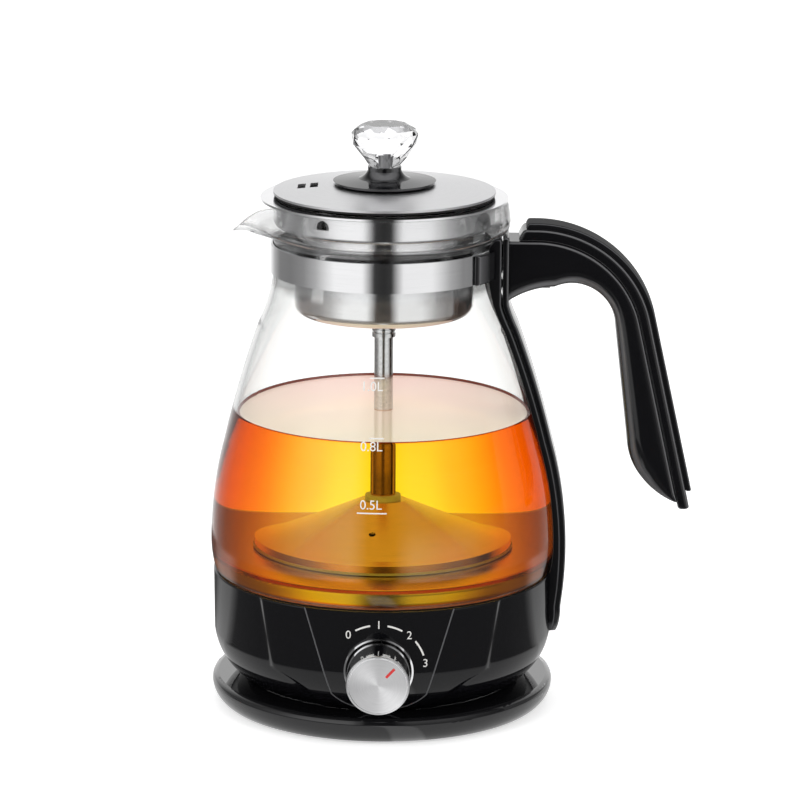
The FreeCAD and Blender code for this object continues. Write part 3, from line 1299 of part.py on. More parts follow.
def make_bell():
    """Steam bell: a cone with a stepped foot, two breather holes, washer and foot seal."""
    sheet = mm.bell_wall
    foot = mm.pan_height + mm.body_gap + mm.bell_seal_wall
    top, rim = mm.bell_top, mm.bell_rim_height
    step = rim - mm.bell_step
    bell = turned("bell", [
        (mm.tube_radius, top), (mm.tube_radius, top - sheet),
        (mm.bell_shoulder_radius, top - sheet), (mm.bell_rim_radius, rim - sheet),
        (mm.bell_foot_radius - sheet, step - sheet), (mm.bell_foot_radius - sheet, foot),
        (mm.bell_foot_radius, foot), (mm.bell_foot_radius, step), (mm.bell_rim_radius, rim),
        (mm.bell_shoulder_radius, top)])
    holes = []
    for degrees in BREATHER_DIRECTIONS:
        x, y = around(mm.breather_circle, degrees)
        holes.append(cylinder("breather", mm.breather_radius, top - foot, x, y, foot))
    node(cut("bell cut", bell, *holes), "steam_bell")
    node(ring("washer", mm.washer_radius, mm.tube_radius, mm.washer_height, top), "bell_washer")
    wall = mm.bell_seal_wall
    low = foot - wall
    outer = mm.bell_foot_radius + mm.bell_seal_lip
    inner = mm.bell_foot_radius - sheet
    seal = turned("bell seal ring", [
        (inner - wall, low), (outer, low), (outer, foot), (inner, foot),
        (inner, low + mm.bell_seal_height), (inner - wall, low + mm.bell_seal_height)])
    node(seal, "bell_seal")


# ---------------------------------------------------------------- lid

def lid_curve():
    """Radius of the lid's shallow dome."""
    half = mm.lid_radius
    return (half * half + mm.lid_rise * mm.lid_rise) / (2 * mm.lid_rise)


def make_lid():
    """Domed disc with two vent slots, its seal, the flared base and the faceted knob."""
    edge_top = mm.lid_edge + mm.lid_edge_depth
    crown = mm.lid_crown
    bore = mm.lid_screw_radius
    sheet = mm.lid_sheet
    dome = turned("lid dome", [
        (0, crown - sheet), (mm.lid_radius - mm.lid_rim_flat, mm.lid_edge, lid_curve(), RIGHT),
        (mm.lid_radius, mm.lid_edge), (mm.lid_radius, edge_top),
        (0, crown, lid_curve(), LEFT)])
    slots = [cylinder("lid bore", bore, BEYOND, 0, 0, mm.lid_edge)]
    for k in range(LID_VENTS):
        slots.append(block("lid vent", mm.vent_width, mm.vent_length, BEYOND,
                           -mm.vent_first - k * mm.vent_pitch - mm.vent_width / 2,
                           -mm.vent_length / 2, mm.lid_edge))
    node(cut("lid cut", dome, *slots), "lid_disc")
    seal_low = mm.lid_edge - mm.lid_seal_depth
    outer = mm.lid_radius + mm.lid_seal_lip
    node(ring("lid seal ring", outer, outer - mm.lid_seal_width, mm.lid_seal_depth, seal_low),
         "lid_seal")
    skirt = mm.knob_disc_radius
    disc_top = crown + mm.knob_disc_edge
    base = turned("knob base turned", [
        (bore, crown), (skirt - mm.knob_disc_bevel, crown), (skirt, disc_top),
        (mm.knob_flare_radius, disc_top + mm.knob_disc_slope),
        (mm.knob_neck_radius, crown + mm.knob_flare_height, mm.knob_flare_curve, RIGHT),
        (mm.knob_neck_radius, mm.knob_neck_height), (bore, mm.knob_neck_height)])
    node(base, "knob_base")
    rings = []
    for radius, height in ((mm.knob_neck_radius, mm.knob_neck_height),
                           (mm.crystal_low_radius, mm.crystal_low_height),
                           (mm.crystal_radius, mm.crystal_widest),
                           (mm.crystal_table, mm.crystal_top)):
        polygon = primitive("RegularPolygon", "crystal ring", Circumradius=radius,
                            Polygon=mm.crystal_side_count)
        rings.append(put(polygon, 0, 0, height))
    stone = doc.addObject("Part::Loft", "crystal_stone")
    stone.Sections = rings
    stone.Solid = True
    stone.Ruled = True
    depth = mm.lid_screw_length - (mm.knob_neck_height - crown)
    node(cut("crystal cut", stone,
             cylinder("crystal bore", bore, depth + mm.crystal_bore_gap, 0, 0,
                      mm.knob_neck_height)), "crystal_knob")
    head = mm.lid_screw_head
    seat = crown - sheet - head * head / lid_curve()
    node(screw("lid bolt", 0, 0, seat, mm.lid_screw_length + sheet, radius=bore, head=head),
         "lid_screw")


# ---------------------------------------------------------------- build and write

def build():
    """Make every sub-part."""
    make_base_top_cover()
    make_base_bottom()
    make_connector()
    make_cord_gland()
    make_housing()
    make_control_panel()
    make_dial_and_switch()
    make_bottom_cover()
    make_upper_connector()
    make_board()
    make_glass_jug()
    make_heater()
    make_knob()
    make_neck_band()
    make_handle_frame()
    make_strap_cover()
    make_handle()
    make_basket()
    make_riser()
    make_bell()
    make_lid()


def faults():
    """Objects that failed, and sub-parts whose shape is not one or more valid solids."""
    found = []
    for thing in doc.Objects:
        if "Invalid" in thing.State or "Error" in thing.State:
            found.append(f"{thing.Label}: {thing.State}")
    for thing in NODES:
        shape = thing.Shape
        if shape.isNull() or not shape.isValid() or not shape.Solids:
            found.append(f"{thing.Label}: bad shape")
    return found


def write_parts():
    """Write each sub-part to its own STEP file."""
    os.makedirs("parts", exist_ok=True)
    for thing in NODES:
        thing.Shape.exportStep(f"parts/{thing.Label}.step")


build()
doc.recompute()
problems = faults()
if problems:
    raise RuntimeError("; ".join(problems))
write_parts()
for thing in NODES:
    box = thing.Shape.BoundBox
    print(f"{thing.Label}: {len(thing.Shape.Solids)} solids, "
          f"{box.XLength:.1f} x {box.YLength:.1f} x {box.ZLength:.1f} mm")
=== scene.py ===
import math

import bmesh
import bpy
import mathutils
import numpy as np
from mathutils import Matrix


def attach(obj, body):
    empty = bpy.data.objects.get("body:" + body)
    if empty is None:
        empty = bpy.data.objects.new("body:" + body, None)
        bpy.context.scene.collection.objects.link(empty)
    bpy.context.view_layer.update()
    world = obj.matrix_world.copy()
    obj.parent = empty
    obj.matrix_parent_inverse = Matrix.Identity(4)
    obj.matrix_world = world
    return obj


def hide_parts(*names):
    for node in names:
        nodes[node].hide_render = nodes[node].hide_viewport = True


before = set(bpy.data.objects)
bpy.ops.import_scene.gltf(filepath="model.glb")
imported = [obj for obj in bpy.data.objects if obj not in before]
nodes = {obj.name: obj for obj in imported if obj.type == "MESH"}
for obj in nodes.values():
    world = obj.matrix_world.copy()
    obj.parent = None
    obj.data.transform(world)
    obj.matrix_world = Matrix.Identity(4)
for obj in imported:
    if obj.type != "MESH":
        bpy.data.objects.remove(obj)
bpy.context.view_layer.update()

# %% [markdown]
# # A glass tea maker, dressed
#
# The object is a one-litre glass jug on a round power base. Its solid parts are already here as
# the frame's nodes, in metres, standing on the table plane with the handle towards +X, the spout
# towards -X and the control panel towards -Y. This lesson gives each of them its finish. Where a
# solid model is too plain, a finer piece takes its place: the blown glass with its spout, the
# handle and its strap, the housing, the seal and the cut stone. The tea, the printed marks and
# two thin bright rims are added.

MM = 0.001

# %% [markdown]
# ## Camera
#
# A product is best shown through a long lens from a step back, so that its upright edges stay
# nearly parallel. The camera is placed by three plain measures: how far it stands from the
# jug's axis, how high it is, and the height on the axis that it aims at. A small turn about the
# axis brings the dial a little to the left of the middle.

# %% Camera
CAMERA_DISTANCE = 1.660
CAMERA_HEIGHT = 0.524
AIM_HEIGHT = 0.12223
CAMERA_TURN = math.radians(1.1)
CAMERA_ROLL = math.radians(0.3)
FOCAL_LENGTH = 193.86
SHIFT_RIGHT = 0.0207

lens = bpy.data.cameras.new("camera")
lens.lens = FOCAL_LENGTH
lens.sensor_width = 36.0
lens.shift_x = SHIFT_RIGHT
lens.clip_end = 50.0
camera = bpy.data.objects.new("camera", lens)
camera.location = (CAMERA_DISTANCE * math.sin(CAMERA_TURN),
                   -CAMERA_DISTANCE * math.cos(CAMERA_TURN), CAMERA_HEIGHT)
pitch = math.atan2(CAMERA_HEIGHT - AIM_HEIGHT, CAMERA_DISTANCE)
aim = mathutils.Euler((math.pi / 2 - pitch, 0.0, CAMERA_TURN)).to_matrix()
roll = mathutils.Euler((0.0, 0.0, CAMERA_ROLL)).to_matrix()
camera.rotation_euler = (aim @ roll).to_euler()
bpy.context.collection.objects.link(camera)
bpy.context.scene.camera = camera
bpy.context.scene.view_settings.view_transform = "Standard"
print("camera pitch", round(math.degrees(pitch), 2))

# %% [markdown]
# ## Helpers for shader nodes
#
# A material is a small graph. These helpers keep each graph short enough to read: one adds a node
# and fills its inputs by name, a few make the nodes that come up again and again, and one starts
# a reusable node group with named sockets.

# %% Node helpers
def add_node(tree, kind, inputs=None, **settings):
    """Add a shader node, set its fields, then link or set its inputs by name or index."""
    made = tree.nodes.new("ShaderNode" + kind)
    for name, value in settings.items():
        setattr(made, name, value)
    for key, value in (inputs or {}).items():
        if isinstance(value, bpy.types.NodeSocket):
            tree.links.new(value, made.inputs[key])
        else:
            made.inputs[key].default_value = value
    return made


def maths(tree, operation, first, second=0.0, third=0.0):
    """One Math node, on numbers or sockets."""
    return add_node(tree, "Math", {0: first, 1: second, 2: third},
                    operation=operation).outputs[0]


def split(tree, vector):
    """The three numbers of a vector."""
    return add_node(tree, "SeparateXYZ", {0: vector}).outputs


def ramp(tree, value, stops):
    """A colour ramp whose stops are (position, grey or colour)."""
    made = add_node(tree, "ValToRGB", {"Fac": value})
    band = made.color_ramp
    for k, (place, tone) in enumerate(stops):
        stop = band.elements[k] if k < 2 else band.elements.new(place)
        stop.position = place
        stop.color = (tone, tone, tone, 1.0) if isinstance(tone, (int, float)) else (*tone, 1.0)
    return made.outputs["Color"]


def mix(tree, share, first, second, blend_type="MIX"):
    """Two colours mixed by a share."""
    return add_node(tree, "Mix", {0: share, "A": first, "B": second}, data_type="RGBA",
                    blend_type=blend_type).outputs["Result"]


def between(tree, value, low, high, first=0.0, last=1.0, interpolation_type="SMOOTHSTEP"):
    """A step, soft unless it is made linear, from first at low to last at high."""
    return add_node(tree, "MapRange", {0: value, 1: low, 2: high, 3: first, 4: last},
                    interpolation_type=interpolation_type).outputs[0]


def in_mirror(tree):
    """1 on a ray that has been reflected before it came here, otherwise 0."""
    return maths(tree, "GREATER_THAN", add_node(tree, "LightPath").outputs["Glossy Depth"], 0.5)


def object_place(tree, centre=(0.0, 0.0, 0.0), turn=(0.0, 0.0, 0.0)):
    """Object coordinates, moved and turned so that a pattern is centred on a piece."""
    place = add_node(tree, "TexCoord").outputs["Object"]
    if not any(centre) and not any(turn):
        return place
    return add_node(tree, "Mapping", {"Vector": place, "Location": centre, "Rotation": turn},
                    vector_type="TEXTURE").outputs["Vector"]


def height_of(tree):
    """The height above the table of each point of a surface."""
    return split(tree, object_place(tree))[2]


# %% Node groups
def new_group(name, inputs, outputs, vector=None):
    """An empty node group: float inputs {name: default}, outputs {name: type}, maybe a vector."""
    tree = bpy.data.node_groups.new(name, "ShaderNodeTree")
    if vector:
        tree.interface.new_socket(vector, in_out="INPUT", socket_type="NodeSocketVector")
    for label, value in inputs.items():
        socket = tree.interface.new_socket(label, in_out="INPUT", socket_type="NodeSocketFloat")
        socket.default_value = value
    for label, kind in outputs.items():
        tree.interface.new_socket(label, in_out="OUTPUT", socket_type=kind)
    return tree, tree.nodes.new("NodeGroupInput").outputs, tree.nodes.new("NodeGroupOutput").inputs


def use_group(tree, group, **values):
    """Place a node group in a material with its own values or links."""
    return add_node(tree, "Group", values, node_tree=group).outputs


# %% [markdown]
# ## Two surface groups shared by many finishes
#
# Turned and spun metal carries fine lines that run round its axis. The first group makes them:
# a noise that is stretched along the angle, read from the radius and the height. Its angle goes
# in as a sine and a cosine, so that the lines join up all the way round. Moulded plastic has a
# faint grain and broader smudges from handling, which the second group makes.

# %% Turned lines
def make_turned_lines():
    """Noise over radius and height about Z, with a slow change round the axis."""
    tree, given, result = new_group(
        "turned_lines", {"Across": 900.0, "Upwards": 900.0, "Around": 3.0},
        {"Streak": "NodeSocketFloat"}, vector="Place")
    x, y, z = split(tree, given["Place"])
    radius = maths(tree, "SQRT", maths(tree, "ADD", maths(tree, "MULTIPLY", x, x),
                                       maths(tree, "MULTIPLY", y, y)))
    safe = maths(tree, "MAXIMUM", radius, 1e-5)
    cosine, sine = (maths(tree, "MULTIPLY", maths(tree, "DIVIDE", way, safe), given["Around"])
                    for way in (x, y))
    spot = add_node(tree, "CombineXYZ", {0: maths(tree, "MULTIPLY", radius, given["Across"]),
                                         1: maths(tree, "MULTIPLY", z, given["Upwards"]),
                                         2: cosine}).outputs[0]
    noise = add_node(tree, "TexNoise", {"Vector": spot, "W": sine, "Scale": 1.0, "Detail": 3.0,
                                        "Roughness": 0.6}, noise_dimensions="4D").outputs["Fac"]
    tree.links.new(noise, result["Streak"])
    return tree


turned_lines = make_turned_lines()

# %% Moulded skin
def make_moulded_skin():
    """Fine grain as a height, and broad smudges as a change of roughness."""
    tree, given, result = new_group(
        "moulded_skin",
        {"Grain": 2500.0, "Smudge": 40.0, "Gloss": 0.1, "Spread": 0.05},
        {"Roughness": "NodeSocketFloat", "Height": "NodeSocketFloat"})
    place = object_place(tree)
    grain = add_node(tree, "TexNoise", {"Vector": place, "Scale": given["Grain"],
                                        "Detail": 2.0}).outputs["Fac"]
    smudge = add_node(tree, "TexNoise", {"Vector": place, "Scale": given["Smudge"],
                                         "Detail": 4.0, "Roughness": 0.65}).outputs["Fac"]
    rough = maths(tree, "MULTIPLY_ADD", smudge, given["Spread"], given["Gloss"])
    tree.links.new(rough, result["Roughness"])
    tree.links.new(grain, result["Height"])
    return tree


moulded_skin = make_moulded_skin()
print("groups", [g.name for g in bpy.data.node_groups])

# %% [markdown]
# ## Finishes
#
# Each finish is one function that returns a material. The principled shader stays in the
# material, with its even values written on its own sockets; only what changes over the surface
# comes from a group.

# %% Starting a material
def start_material(name, **sockets):
    """A material with a Principled shader, its sockets set by name."""
    material = bpy.data.materials.new(name)
    material.use_nodes = True
    tree = material.node_tree
    shader = tree.nodes["Principled BSDF"]
    for label, value in sockets.items():
        shader.inputs[label.replace("_", " ")].default_value = value
    return material, tree, shader


def grey(level):
    """A neutral colour."""
    return (level, level, level, 1.0)


def bump(tree, shader, height, distance):
    """Feed a height to the shader's normal; distance is the relief in metres."""
    made = add_node(tree, "Bump", {"Strength": 1.0, "Distance": distance, "Height": height})
    tree.links.new(made.outputs["Normal"], shader.inputs["Normal"])


# %% [markdown]
# Moulded plastic and rubber need three things: an even colour, a gloss with smudges, and a relief
# so small that only the highlights show it. The black bars of the handle also carry a painted
# highlight: thin pale lines where their sides meet, standing for the light that their rounded
# edges catch. That is laid on by the way the surface faces, so that it stays on the rounded edges
# at any angle of view.

# %% Plastics and rubber
def moulded(name, colour, gloss, spread, relief, grain=2500.0, **sockets):
    """Moulded plastic or rubber: even colour, smudged gloss and a fine grain."""
    material, tree, shader = start_material(name, Base_Color=colour, **sockets)
    skin = use_group(tree, moulded_skin, Grain=grain, Gloss=gloss, Spread=spread)
    tree.links.new(skin["Roughness"], shader.inputs["Roughness"])
    bump(tree, shader, skin["Height"], relief)
    return material


PAINTED_HIGHLIGHT_FACING = (0.45, 0.62, 0.80, 0.93)


def polished_edges(material, pale):
    """Paint a highlight on a bar where it faces partly sideways: on the rounded edges between its
    sides.
    """
    tree = material.node_tree
    shader = tree.nodes["Principled BSDF"]
    facing = add_node(tree, "TexCoord").outputs["Normal"]
    side = maths(tree, "ABSOLUTE", split(tree, facing)[1])
    dark = tuple(shader.inputs["Base Color"].default_value[:3])
    tone = ramp(tree, side, zip(PAINTED_HIGHLIGHT_FACING, (dark, pale, pale, dark)))
    tree.links.new(tone, shader.inputs["Base Color"])


gloss_black = moulded("gloss_black", (0.007, 0.007, 0.008, 1.0), 0.03, 0.04, 4e-7,
                      Coat_Weight=0.8, Coat_Roughness=0.02)
handle_black = moulded("handle_black", (0.006, 0.006, 0.007, 1.0), 0.04, 0.05, 6e-7,
                       Specular_IOR_Level=0.42)
cap_black = moulded("cap_black", (0.008, 0.008, 0.009, 1.0), 0.42, 0.05, 6e-7,
                    Specular_IOR_Level=0.05)
# The pale lines laid on the handle, the strap and the cap are painted highlights.
polished_edges(handle_black, (0.13, 0.13, 0.135))
polished_edges(cap_black, (0.10, 0.10, 0.105))
shell_black = moulded("shell_black", (0.004, 0.004, 0.005, 1.0), 0.03, 0.04, 4e-7,
                      Specular_IOR_Level=0.5)
# A pale grey that paints the highlight on the panel's rim bead.
painted_rim_highlight = moulded("painted_rim_highlight", (0.10, 0.10, 0.105, 1.0), 0.25, 0.05, 4e-7)
satin_black = moulded("satin_black", (0.012, 0.012, 0.013, 1.0), 0.20, 0.10, 4e-6)
soft_rubber = moulded("soft_rubber", (0.02, 0.02, 0.02, 1.0), 0.55, 0.15, 2e-5, 1500.0)
milky_silicone = moulded("milky_silicone", (0.6, 0.58, 0.54, 1.0), 0.4, 0.1, 1e-5)
relay_blue = moulded("relay_blue", (0.03, 0.10, 0.35, 1.0), 0.3, 0.1, 5e-6)
red_paint = moulded("red_paint", (0.70, 0.03, 0.03, 1.0), 0.25, 0.1, 2e-6)
white_print = moulded("white_print", (0.86, 0.85, 0.82, 1.0), 0.35, 0.1, 1e-6)
board_green = moulded("board_green", (0.02, 0.16, 0.07, 1.0), 0.25, 0.1, 5e-6)
wire_sleeve = moulded("wire_sleeve", (0.75, 0.73, 0.68, 1.0), 0.6, 0.1, 3e-5, 3000.0)
print("moulded finishes", len(bpy.data.materials))

# %% [markdown]
# Metal takes its look from what it mirrors, so its finish is mostly gloss: fine on the basket and
# the band, broader on the lid and the knob, whose turned lines also spread each highlight round
# the axis. Steel that stands in tea looks amber through it. A material can't see how much tea lies
# in front of it, so the bell, the tube and the pan carry that amber as a painted tint below the
# tea's level, standing for the light that comes to them through the tea.

# %% Metals
THROUGH_TEA_TOP = (0.1195, 0.1175)
THROUGH_TEA_START = 0.0005


def lined_metal(name, colour, gloss, spread, relief, lines=(900.0, 900.0, 3.0), contrast=0.18,
                centre=(0.0, 0.0, 0.0), turn=(0.0, 0.0, 0.0), tangent=None, through_tea_tint=None,
                tint_from=0.0, **sockets):
    """Metal with turned lines in gloss, tone and relief; its low part may take a painted amber tint
    for the tea in front of it.
    """
    material, tree, shader = start_material(name, Metallic=1.0, **sockets)
    across, upwards, around = lines
    streak = use_group(tree, turned_lines, Place=object_place(tree, centre, turn),
                       Across=across, Upwards=upwards, Around=around)["Streak"]
    rough = maths(tree, "MULTIPLY_ADD", streak, spread, gloss)
    tree.links.new(rough, shader.inputs["Roughness"])
    dark = tuple((1 - contrast) * c for c in colour)
    tone = ramp(tree, streak, [(0.3, dark), (0.7, colour)])
    # Below the tea's level the tone is darkened by a painted amber tint, for the tea seen in front
    # of the steel.
    if through_tea_tint:
        height = height_of(tree)
        above = between(tree, height, tint_from, tint_from + THROUGH_TEA_START,
                        interpolation_type="LINEAR")
        wet = maths(tree, "MULTIPLY", between(tree, height, *THROUGH_TEA_TOP), above)
        tone = mix(tree, wet, tone, (*through_tea_tint, 1.0), "MULTIPLY")
    tree.links.new(tone, shader.inputs["Base Color"])
    bump(tree, shader, streak, relief)
    if tangent:
        way = add_node(tree, "Tangent", direction_type="RADIAL", axis=tangent).outputs[0]
        tree.links.new(way, shader.inputs["Tangent"])
    return material


KNOB_CENTRE = (0.0, -0.0686, 0.0312)
KNOB_TILT = math.radians(6.0)
KNOB_TURN = (math.pi / 2 + KNOB_TILT, 0.0, 0.0)
WALL_LINES = (300.0, 2600.0, 2.0)
lid_steel = lined_metal("lid_steel", (0.90, 0.90, 0.91), 0.32, 0.06, 4e-7,
                        (2600.0, 300.0, 5.0), 0.06, tangent="Z", Anisotropic=0.6)
basket_steel = lined_metal("basket_steel", (0.90, 0.90, 0.91), 0.06, 0.05, 3e-7, WALL_LINES, 0.05)
band_steel = lined_metal("band_steel", (0.90, 0.90, 0.91), 0.07, 0.05, 3e-7, WALL_LINES, 0.05)
bell_steel = lined_metal("bell_steel", (0.90, 0.90, 0.90), 0.20, 0.06, 3e-7,
                         (1800.0, 1800.0, 3.0), 0.08, through_tea_tint=(1.0, 0.67, 0.32))
pan_steel = lined_metal("pan_steel", (0.90, 0.90, 0.90), 0.16, 0.08, 4e-7,
                        (1800.0, 900.0, 3.0), 0.1, through_tea_tint=(1.0, 0.56, 0.06),
                        tint_from=0.0613)
tube_steel = lined_metal("tube_steel", (0.82, 0.82, 0.83), 0.08, 0.06, 4e-7,
                         through_tea_tint=(1.0, 0.48, 0.22))
screw_steel = lined_metal("screw_steel", (0.55, 0.55, 0.56), 0.28, 0.12, 4e-6)
chrome = lined_metal("chrome", (0.88, 0.88, 0.89), 0.05, 0.04, 3e-7, contrast=0.05)
cast_aluminium = lined_metal("cast_aluminium", (0.72, 0.72, 0.73), 0.35, 0.2, 1e-5)
contact_brass = lined_metal("contact_brass", (0.72, 0.53, 0.24), 0.2, 0.1, 4e-6)
spun_aluminium = lined_metal("spun_aluminium", (0.96, 0.96, 0.97), 0.29, 0.10, 5e-7,
                             (2800.0, 300.0, 1.5), 0.10, KNOB_CENTRE, KNOB_TURN, "Y",
                             Anisotropic=0.85, Anisotropic_Rotation=0.25)
print("moulded finishes and metals", len(bpy.data.materials))

# %% [markdown]
# ## Glass
#
# Clear glass is a dielectric: it refracts what is behind it and mirrors more at its edges. The
# lamps' shadow rays can't find their way through a refracting wall, so the material lets them
# straight through instead, by way of its alpha, and what stands inside the jug is lit.

# %% Clear materials
def clear(name, colour, ior, let_through, **sockets):
    """A clear material whose alpha opens to shadow rays by the share let_through."""
    material, tree, shader = start_material(name, Base_Color=colour, Roughness=0.0, IOR=ior,
                                            **sockets)
    path = add_node(tree, "LightPath").outputs["Is Shadow Ray"]
    opening = maths(tree, "MULTIPLY_ADD", path, -let_through, 1.0)
    tree.links.new(opening, shader.inputs["Alpha"])
    return material, tree, shader


crystal, _, _ = clear("crystal", (0.97, 0.97, 0.98, 1.0), 1.52, 0.8, Transmission_Weight=1.0)
print("crystal refracts by", crystal.node_tree.nodes["Principled BSDF"].inputs["IOR"].default_value)

# %% [markdown]
# A blown wall is thin and its two faces run side by side, so that it hardly bends what is seen
# square through it; it bends and mirrors at its edges. Its alpha follows that: low where the
# wall faces the eye, full where it is seen at a slant. On the belly it is full everywhere, since
# there the tea behind the wall makes one lens with it, and in the flared mouth it stays low the
# longest.

# %% Glass of the jug
WALL_FULL_BELOW = (0.174, 0.168)
WALL_CLEAN_ABOVE = (0.186, 0.190)


def make_jug_glass():
    """Clear borosilicate, straight through where it is square on and full at its edges."""
    material, tree, shader = clear("jug_glass", (0.985, 0.995, 0.99, 1.0), 1.47, 0.92,
                                   Transmission_Weight=1.0, Specular_IOR_Level=0.2)
    slant = add_node(tree, "LayerWeight", {"Blend": 0.5}).outputs["Facing"]
    full = ramp(tree, slant, [(0.0, 0.22), (0.15, 0.25), (0.40, 0.8), (0.55, 1.0)])
    clean = ramp(tree, slant, [(0.0, 0.11), (0.45, 0.18), (0.68, 0.55), (0.80, 1.0)])
    height = height_of(tree)
    full = mix(tree, between(tree, height, *WALL_CLEAN_ABOVE), full, clean)
    full = maths(tree, "MAXIMUM", full, between(tree, height, *WALL_FULL_BELOW))
    opening = shader.inputs["Alpha"].links[0].from_socket
    tree.links.new(maths(tree, "MULTIPLY", opening, full), shader.inputs["Alpha"])
    return material


jug_glass = make_jug_glass()
print("nodes in the jug's glass", len(jug_glass.node_tree.nodes))

# %% [markdown]
# ## Tea
#
# Tea is water with an orange dye, which takes the blue out of light and some of the green, the
# more the longer its way through the jug. An absorbing volume would do that, but the tea's skin
# has three finishes, and a ray that comes in by one of them and leaves by another keeps the
# volume's colour for good. So the dye lies on the surface, by its angle, as for any tinted glass:
# yellow where it is seen square on, and through orange to red near the sides, where a line of
# sight leaves the tea at a slant. The deep red and brown nearest the sides is painted shade,
# standing for the dark surroundings that the tea's edges look out on. A mirror inside shows a
# paler yellow.

# %% Tea body
WATER_IOR = 1.333
# The stops from 0.15 on grow darker: that is painted shade at the tea's sides, not dye.
TEA_TINTS_AND_EDGE_SHADE = [(0.0, (1.0, 0.65, 0.012)), (0.020, (1.0, 0.64, 0.010)), (0.04, (1.0, 0.47, 0.002)),
             (0.077, (1.0, 0.34, 0.0)), (0.10, (1.0, 0.24, 0.0)), (0.121, (0.99, 0.16, 0.0)),
             (0.15, (0.92, 0.105, 0.0)), (0.20, (0.80, 0.07, 0.0)), (0.25, (0.64, 0.055, 0.001)),
             (0.30, (0.42, 0.06, 0.03)), (1.0, (0.36, 0.05, 0.03))]
MIRRORED_TINT = (1.0, 0.72, 0.16, 1.0)


def make_tea():
    """Orange dye in water, deeper where the surface is seen at a slant, and darkened there by
    painted shade.
    """
    material, tree, shader = clear("brewed_tea", (1.0, 0.7, 0.05, 1.0), WATER_IOR, 0.85,
                                   Transmission_Weight=1.0, Specular_IOR_Level=0.2)
    slant = add_node(tree, "LayerWeight", {"Blend": 0.5}).outputs["Facing"]
    tint = mix(tree, in_mirror(tree), ramp(tree, slant, TEA_TINTS_AND_EDGE_SHADE), MIRRORED_TINT)
    tree.links.new(tint, shader.inputs["Base Color"])
    return material


brewed_tea = make_tea()
print("tints of the tea", len(TEA_TINTS_AND_EDGE_SHADE))

# %% [markdown]
# The upper face carries a pale film of fine bubbles, creamy in front and pinker at the back. It
# glows a little by emission, and more from below: painted light that stands for light scattered
# in the film. Where the tea climbs the glass by a millimetre its thin edge looks red-brown.

# %% Tea surface
FILM_PAINTED_LIGHT, FILM_PAINTED_LIGHT_BELOW = 0.42, 0.12
FILM_DEPTH = (-0.05, 0.05)
BACK_SHARE, CLOUD_SHARE = 0.8, 0.3
FILM_TINTS = [(0.1, (0.92, 0.80, 0.58)), (0.55, (0.90, 0.71, 0.56)), (1.0, (0.88, 0.60, 0.52))]


def make_tea_top():
    """A pale film over clear orange, its tone changing from front to back."""
    material, tree, shader = clear("tea_top", (0.80, 0.76, 0.80, 1.0), WATER_IOR, 0.6,
                                   Transmission_Weight=0.12)
    place = object_place(tree)
    cloud = add_node(tree, "TexNoise", {"Vector": place, "Scale": 22.0, "Detail": 3.0,
                                        "Distortion": 0.6}).outputs["Fac"]
    back = between(tree, split(tree, place)[1], *FILM_DEPTH, interpolation_type="LINEAR")
    mixed = maths(tree, "ADD", maths(tree, "MULTIPLY", back, BACK_SHARE),
                  maths(tree, "MULTIPLY", cloud, CLOUD_SHARE))
    tint = ramp(tree, mixed, FILM_TINTS)
    # The emission is painted light: the film glows, and more on its underside.
    below = add_node(tree, "NewGeometry").outputs["Backfacing"]
    glow = maths(tree, "MULTIPLY_ADD", below, FILM_PAINTED_LIGHT_BELOW, FILM_PAINTED_LIGHT)
    tree.links.new(tint, shader.inputs["Base Color"])
    tree.links.new(tint, shader.inputs["Emission Color"])
    tree.links.new(glow, shader.inputs["Emission Strength"])
    return material


tea_top = make_tea_top()
tea_edge = moulded("tea_edge", (0.34, 0.05, 0.02, 1.0), 0.15, 0.05, 1e-7)
print("all finishes", len(bpy.data.materials))

# %% [markdown]
# ## Dressing the solid parts
#
# Most of the solids keep their shape and only need their finish, which goes into the one
# material slot of their mesh. Those that get a finer piece further down are dressed as well.

# %% Finish of every solid part
finish_of = {
    gloss_black: ("base_top_cover",),
    handle_black: ("strap_cover", "handle_frame", "knob_base", "handle_grip",
                   "handle_spine", "handle_cap"),
    shell_black: ("base_housing", "control_panel"),
    satin_black: ("base_bottom_plate", "bottom_cover", "cord_gland", "lower_connector",
                  "upper_connector", "connector_shutter", "rotary_switch"),
    soft_rubber: ("base_feet", "lid_seal", "jug_seal"),
    milky_silicone: ("bell_seal", "bell_washer"),
    lid_steel: ("lid_disc",),
    basket_steel: ("tea_basket",),
    band_steel: ("neck_band",),
    bell_steel: ("steam_bell",),
    pan_steel: ("heater_pan",),
    tube_steel: ("riser_tube", "tube_sleeve", "basket_nut", "spray_cap"),
    screw_steel: ("base_screws", "board_screws", "bottom_cover_screws", "connector_screws",
                  "band_screw", "strap_screw", "handle_screws", "lid_screw", "switch_nut",
                  "switch_shaft", "heating_element", "thermostats"),
    chrome: ("dial_ring", "knob_body"),
    spun_aluminium: ("knob_face",),
    cast_aluminium: ("heat_plate",),
    contact_brass: ("contact_rings", "connector_pins"),
    board_green: ("control_board",),
    relay_blue: ("board_relay",),
    red_paint: ("knob_pointer",),
    wire_sleeve: ("lead_wires", "thermal_fuse"),
    crystal: ("crystal_knob",),
    jug_glass: ("glass_jug",),
}
for material, names in finish_of.items():
    for name in names:
        nodes[name].data.materials.clear()
        nodes[name].data.materials.append(material)
dressed = sum(len(names) for names in finish_of.values())
print("solid parts dressed:", dressed, "of", len(nodes))

# %% [markdown]
# ## Surfaces worked out with numpy
#
# Every new piece is a grid of points: rows along a profile, columns round it. One helper turns
# such a grid into a mesh of quads, joined up where the grid closes on itself. Profiles are
# chains of straight steps and arcs, as a draughtsman would give them.

# %% Grid helpers
def new_piece(name, points, faces):
    """An object in the scene with a mesh of points, in metres, and faces."""
    mesh = bpy.data.meshes.new(name)
    mesh.from_pydata(points.tolist(), [], faces)
    made = bpy.data.objects.new(name, mesh)
    bpy.context.collection.objects.link(made)
    return made


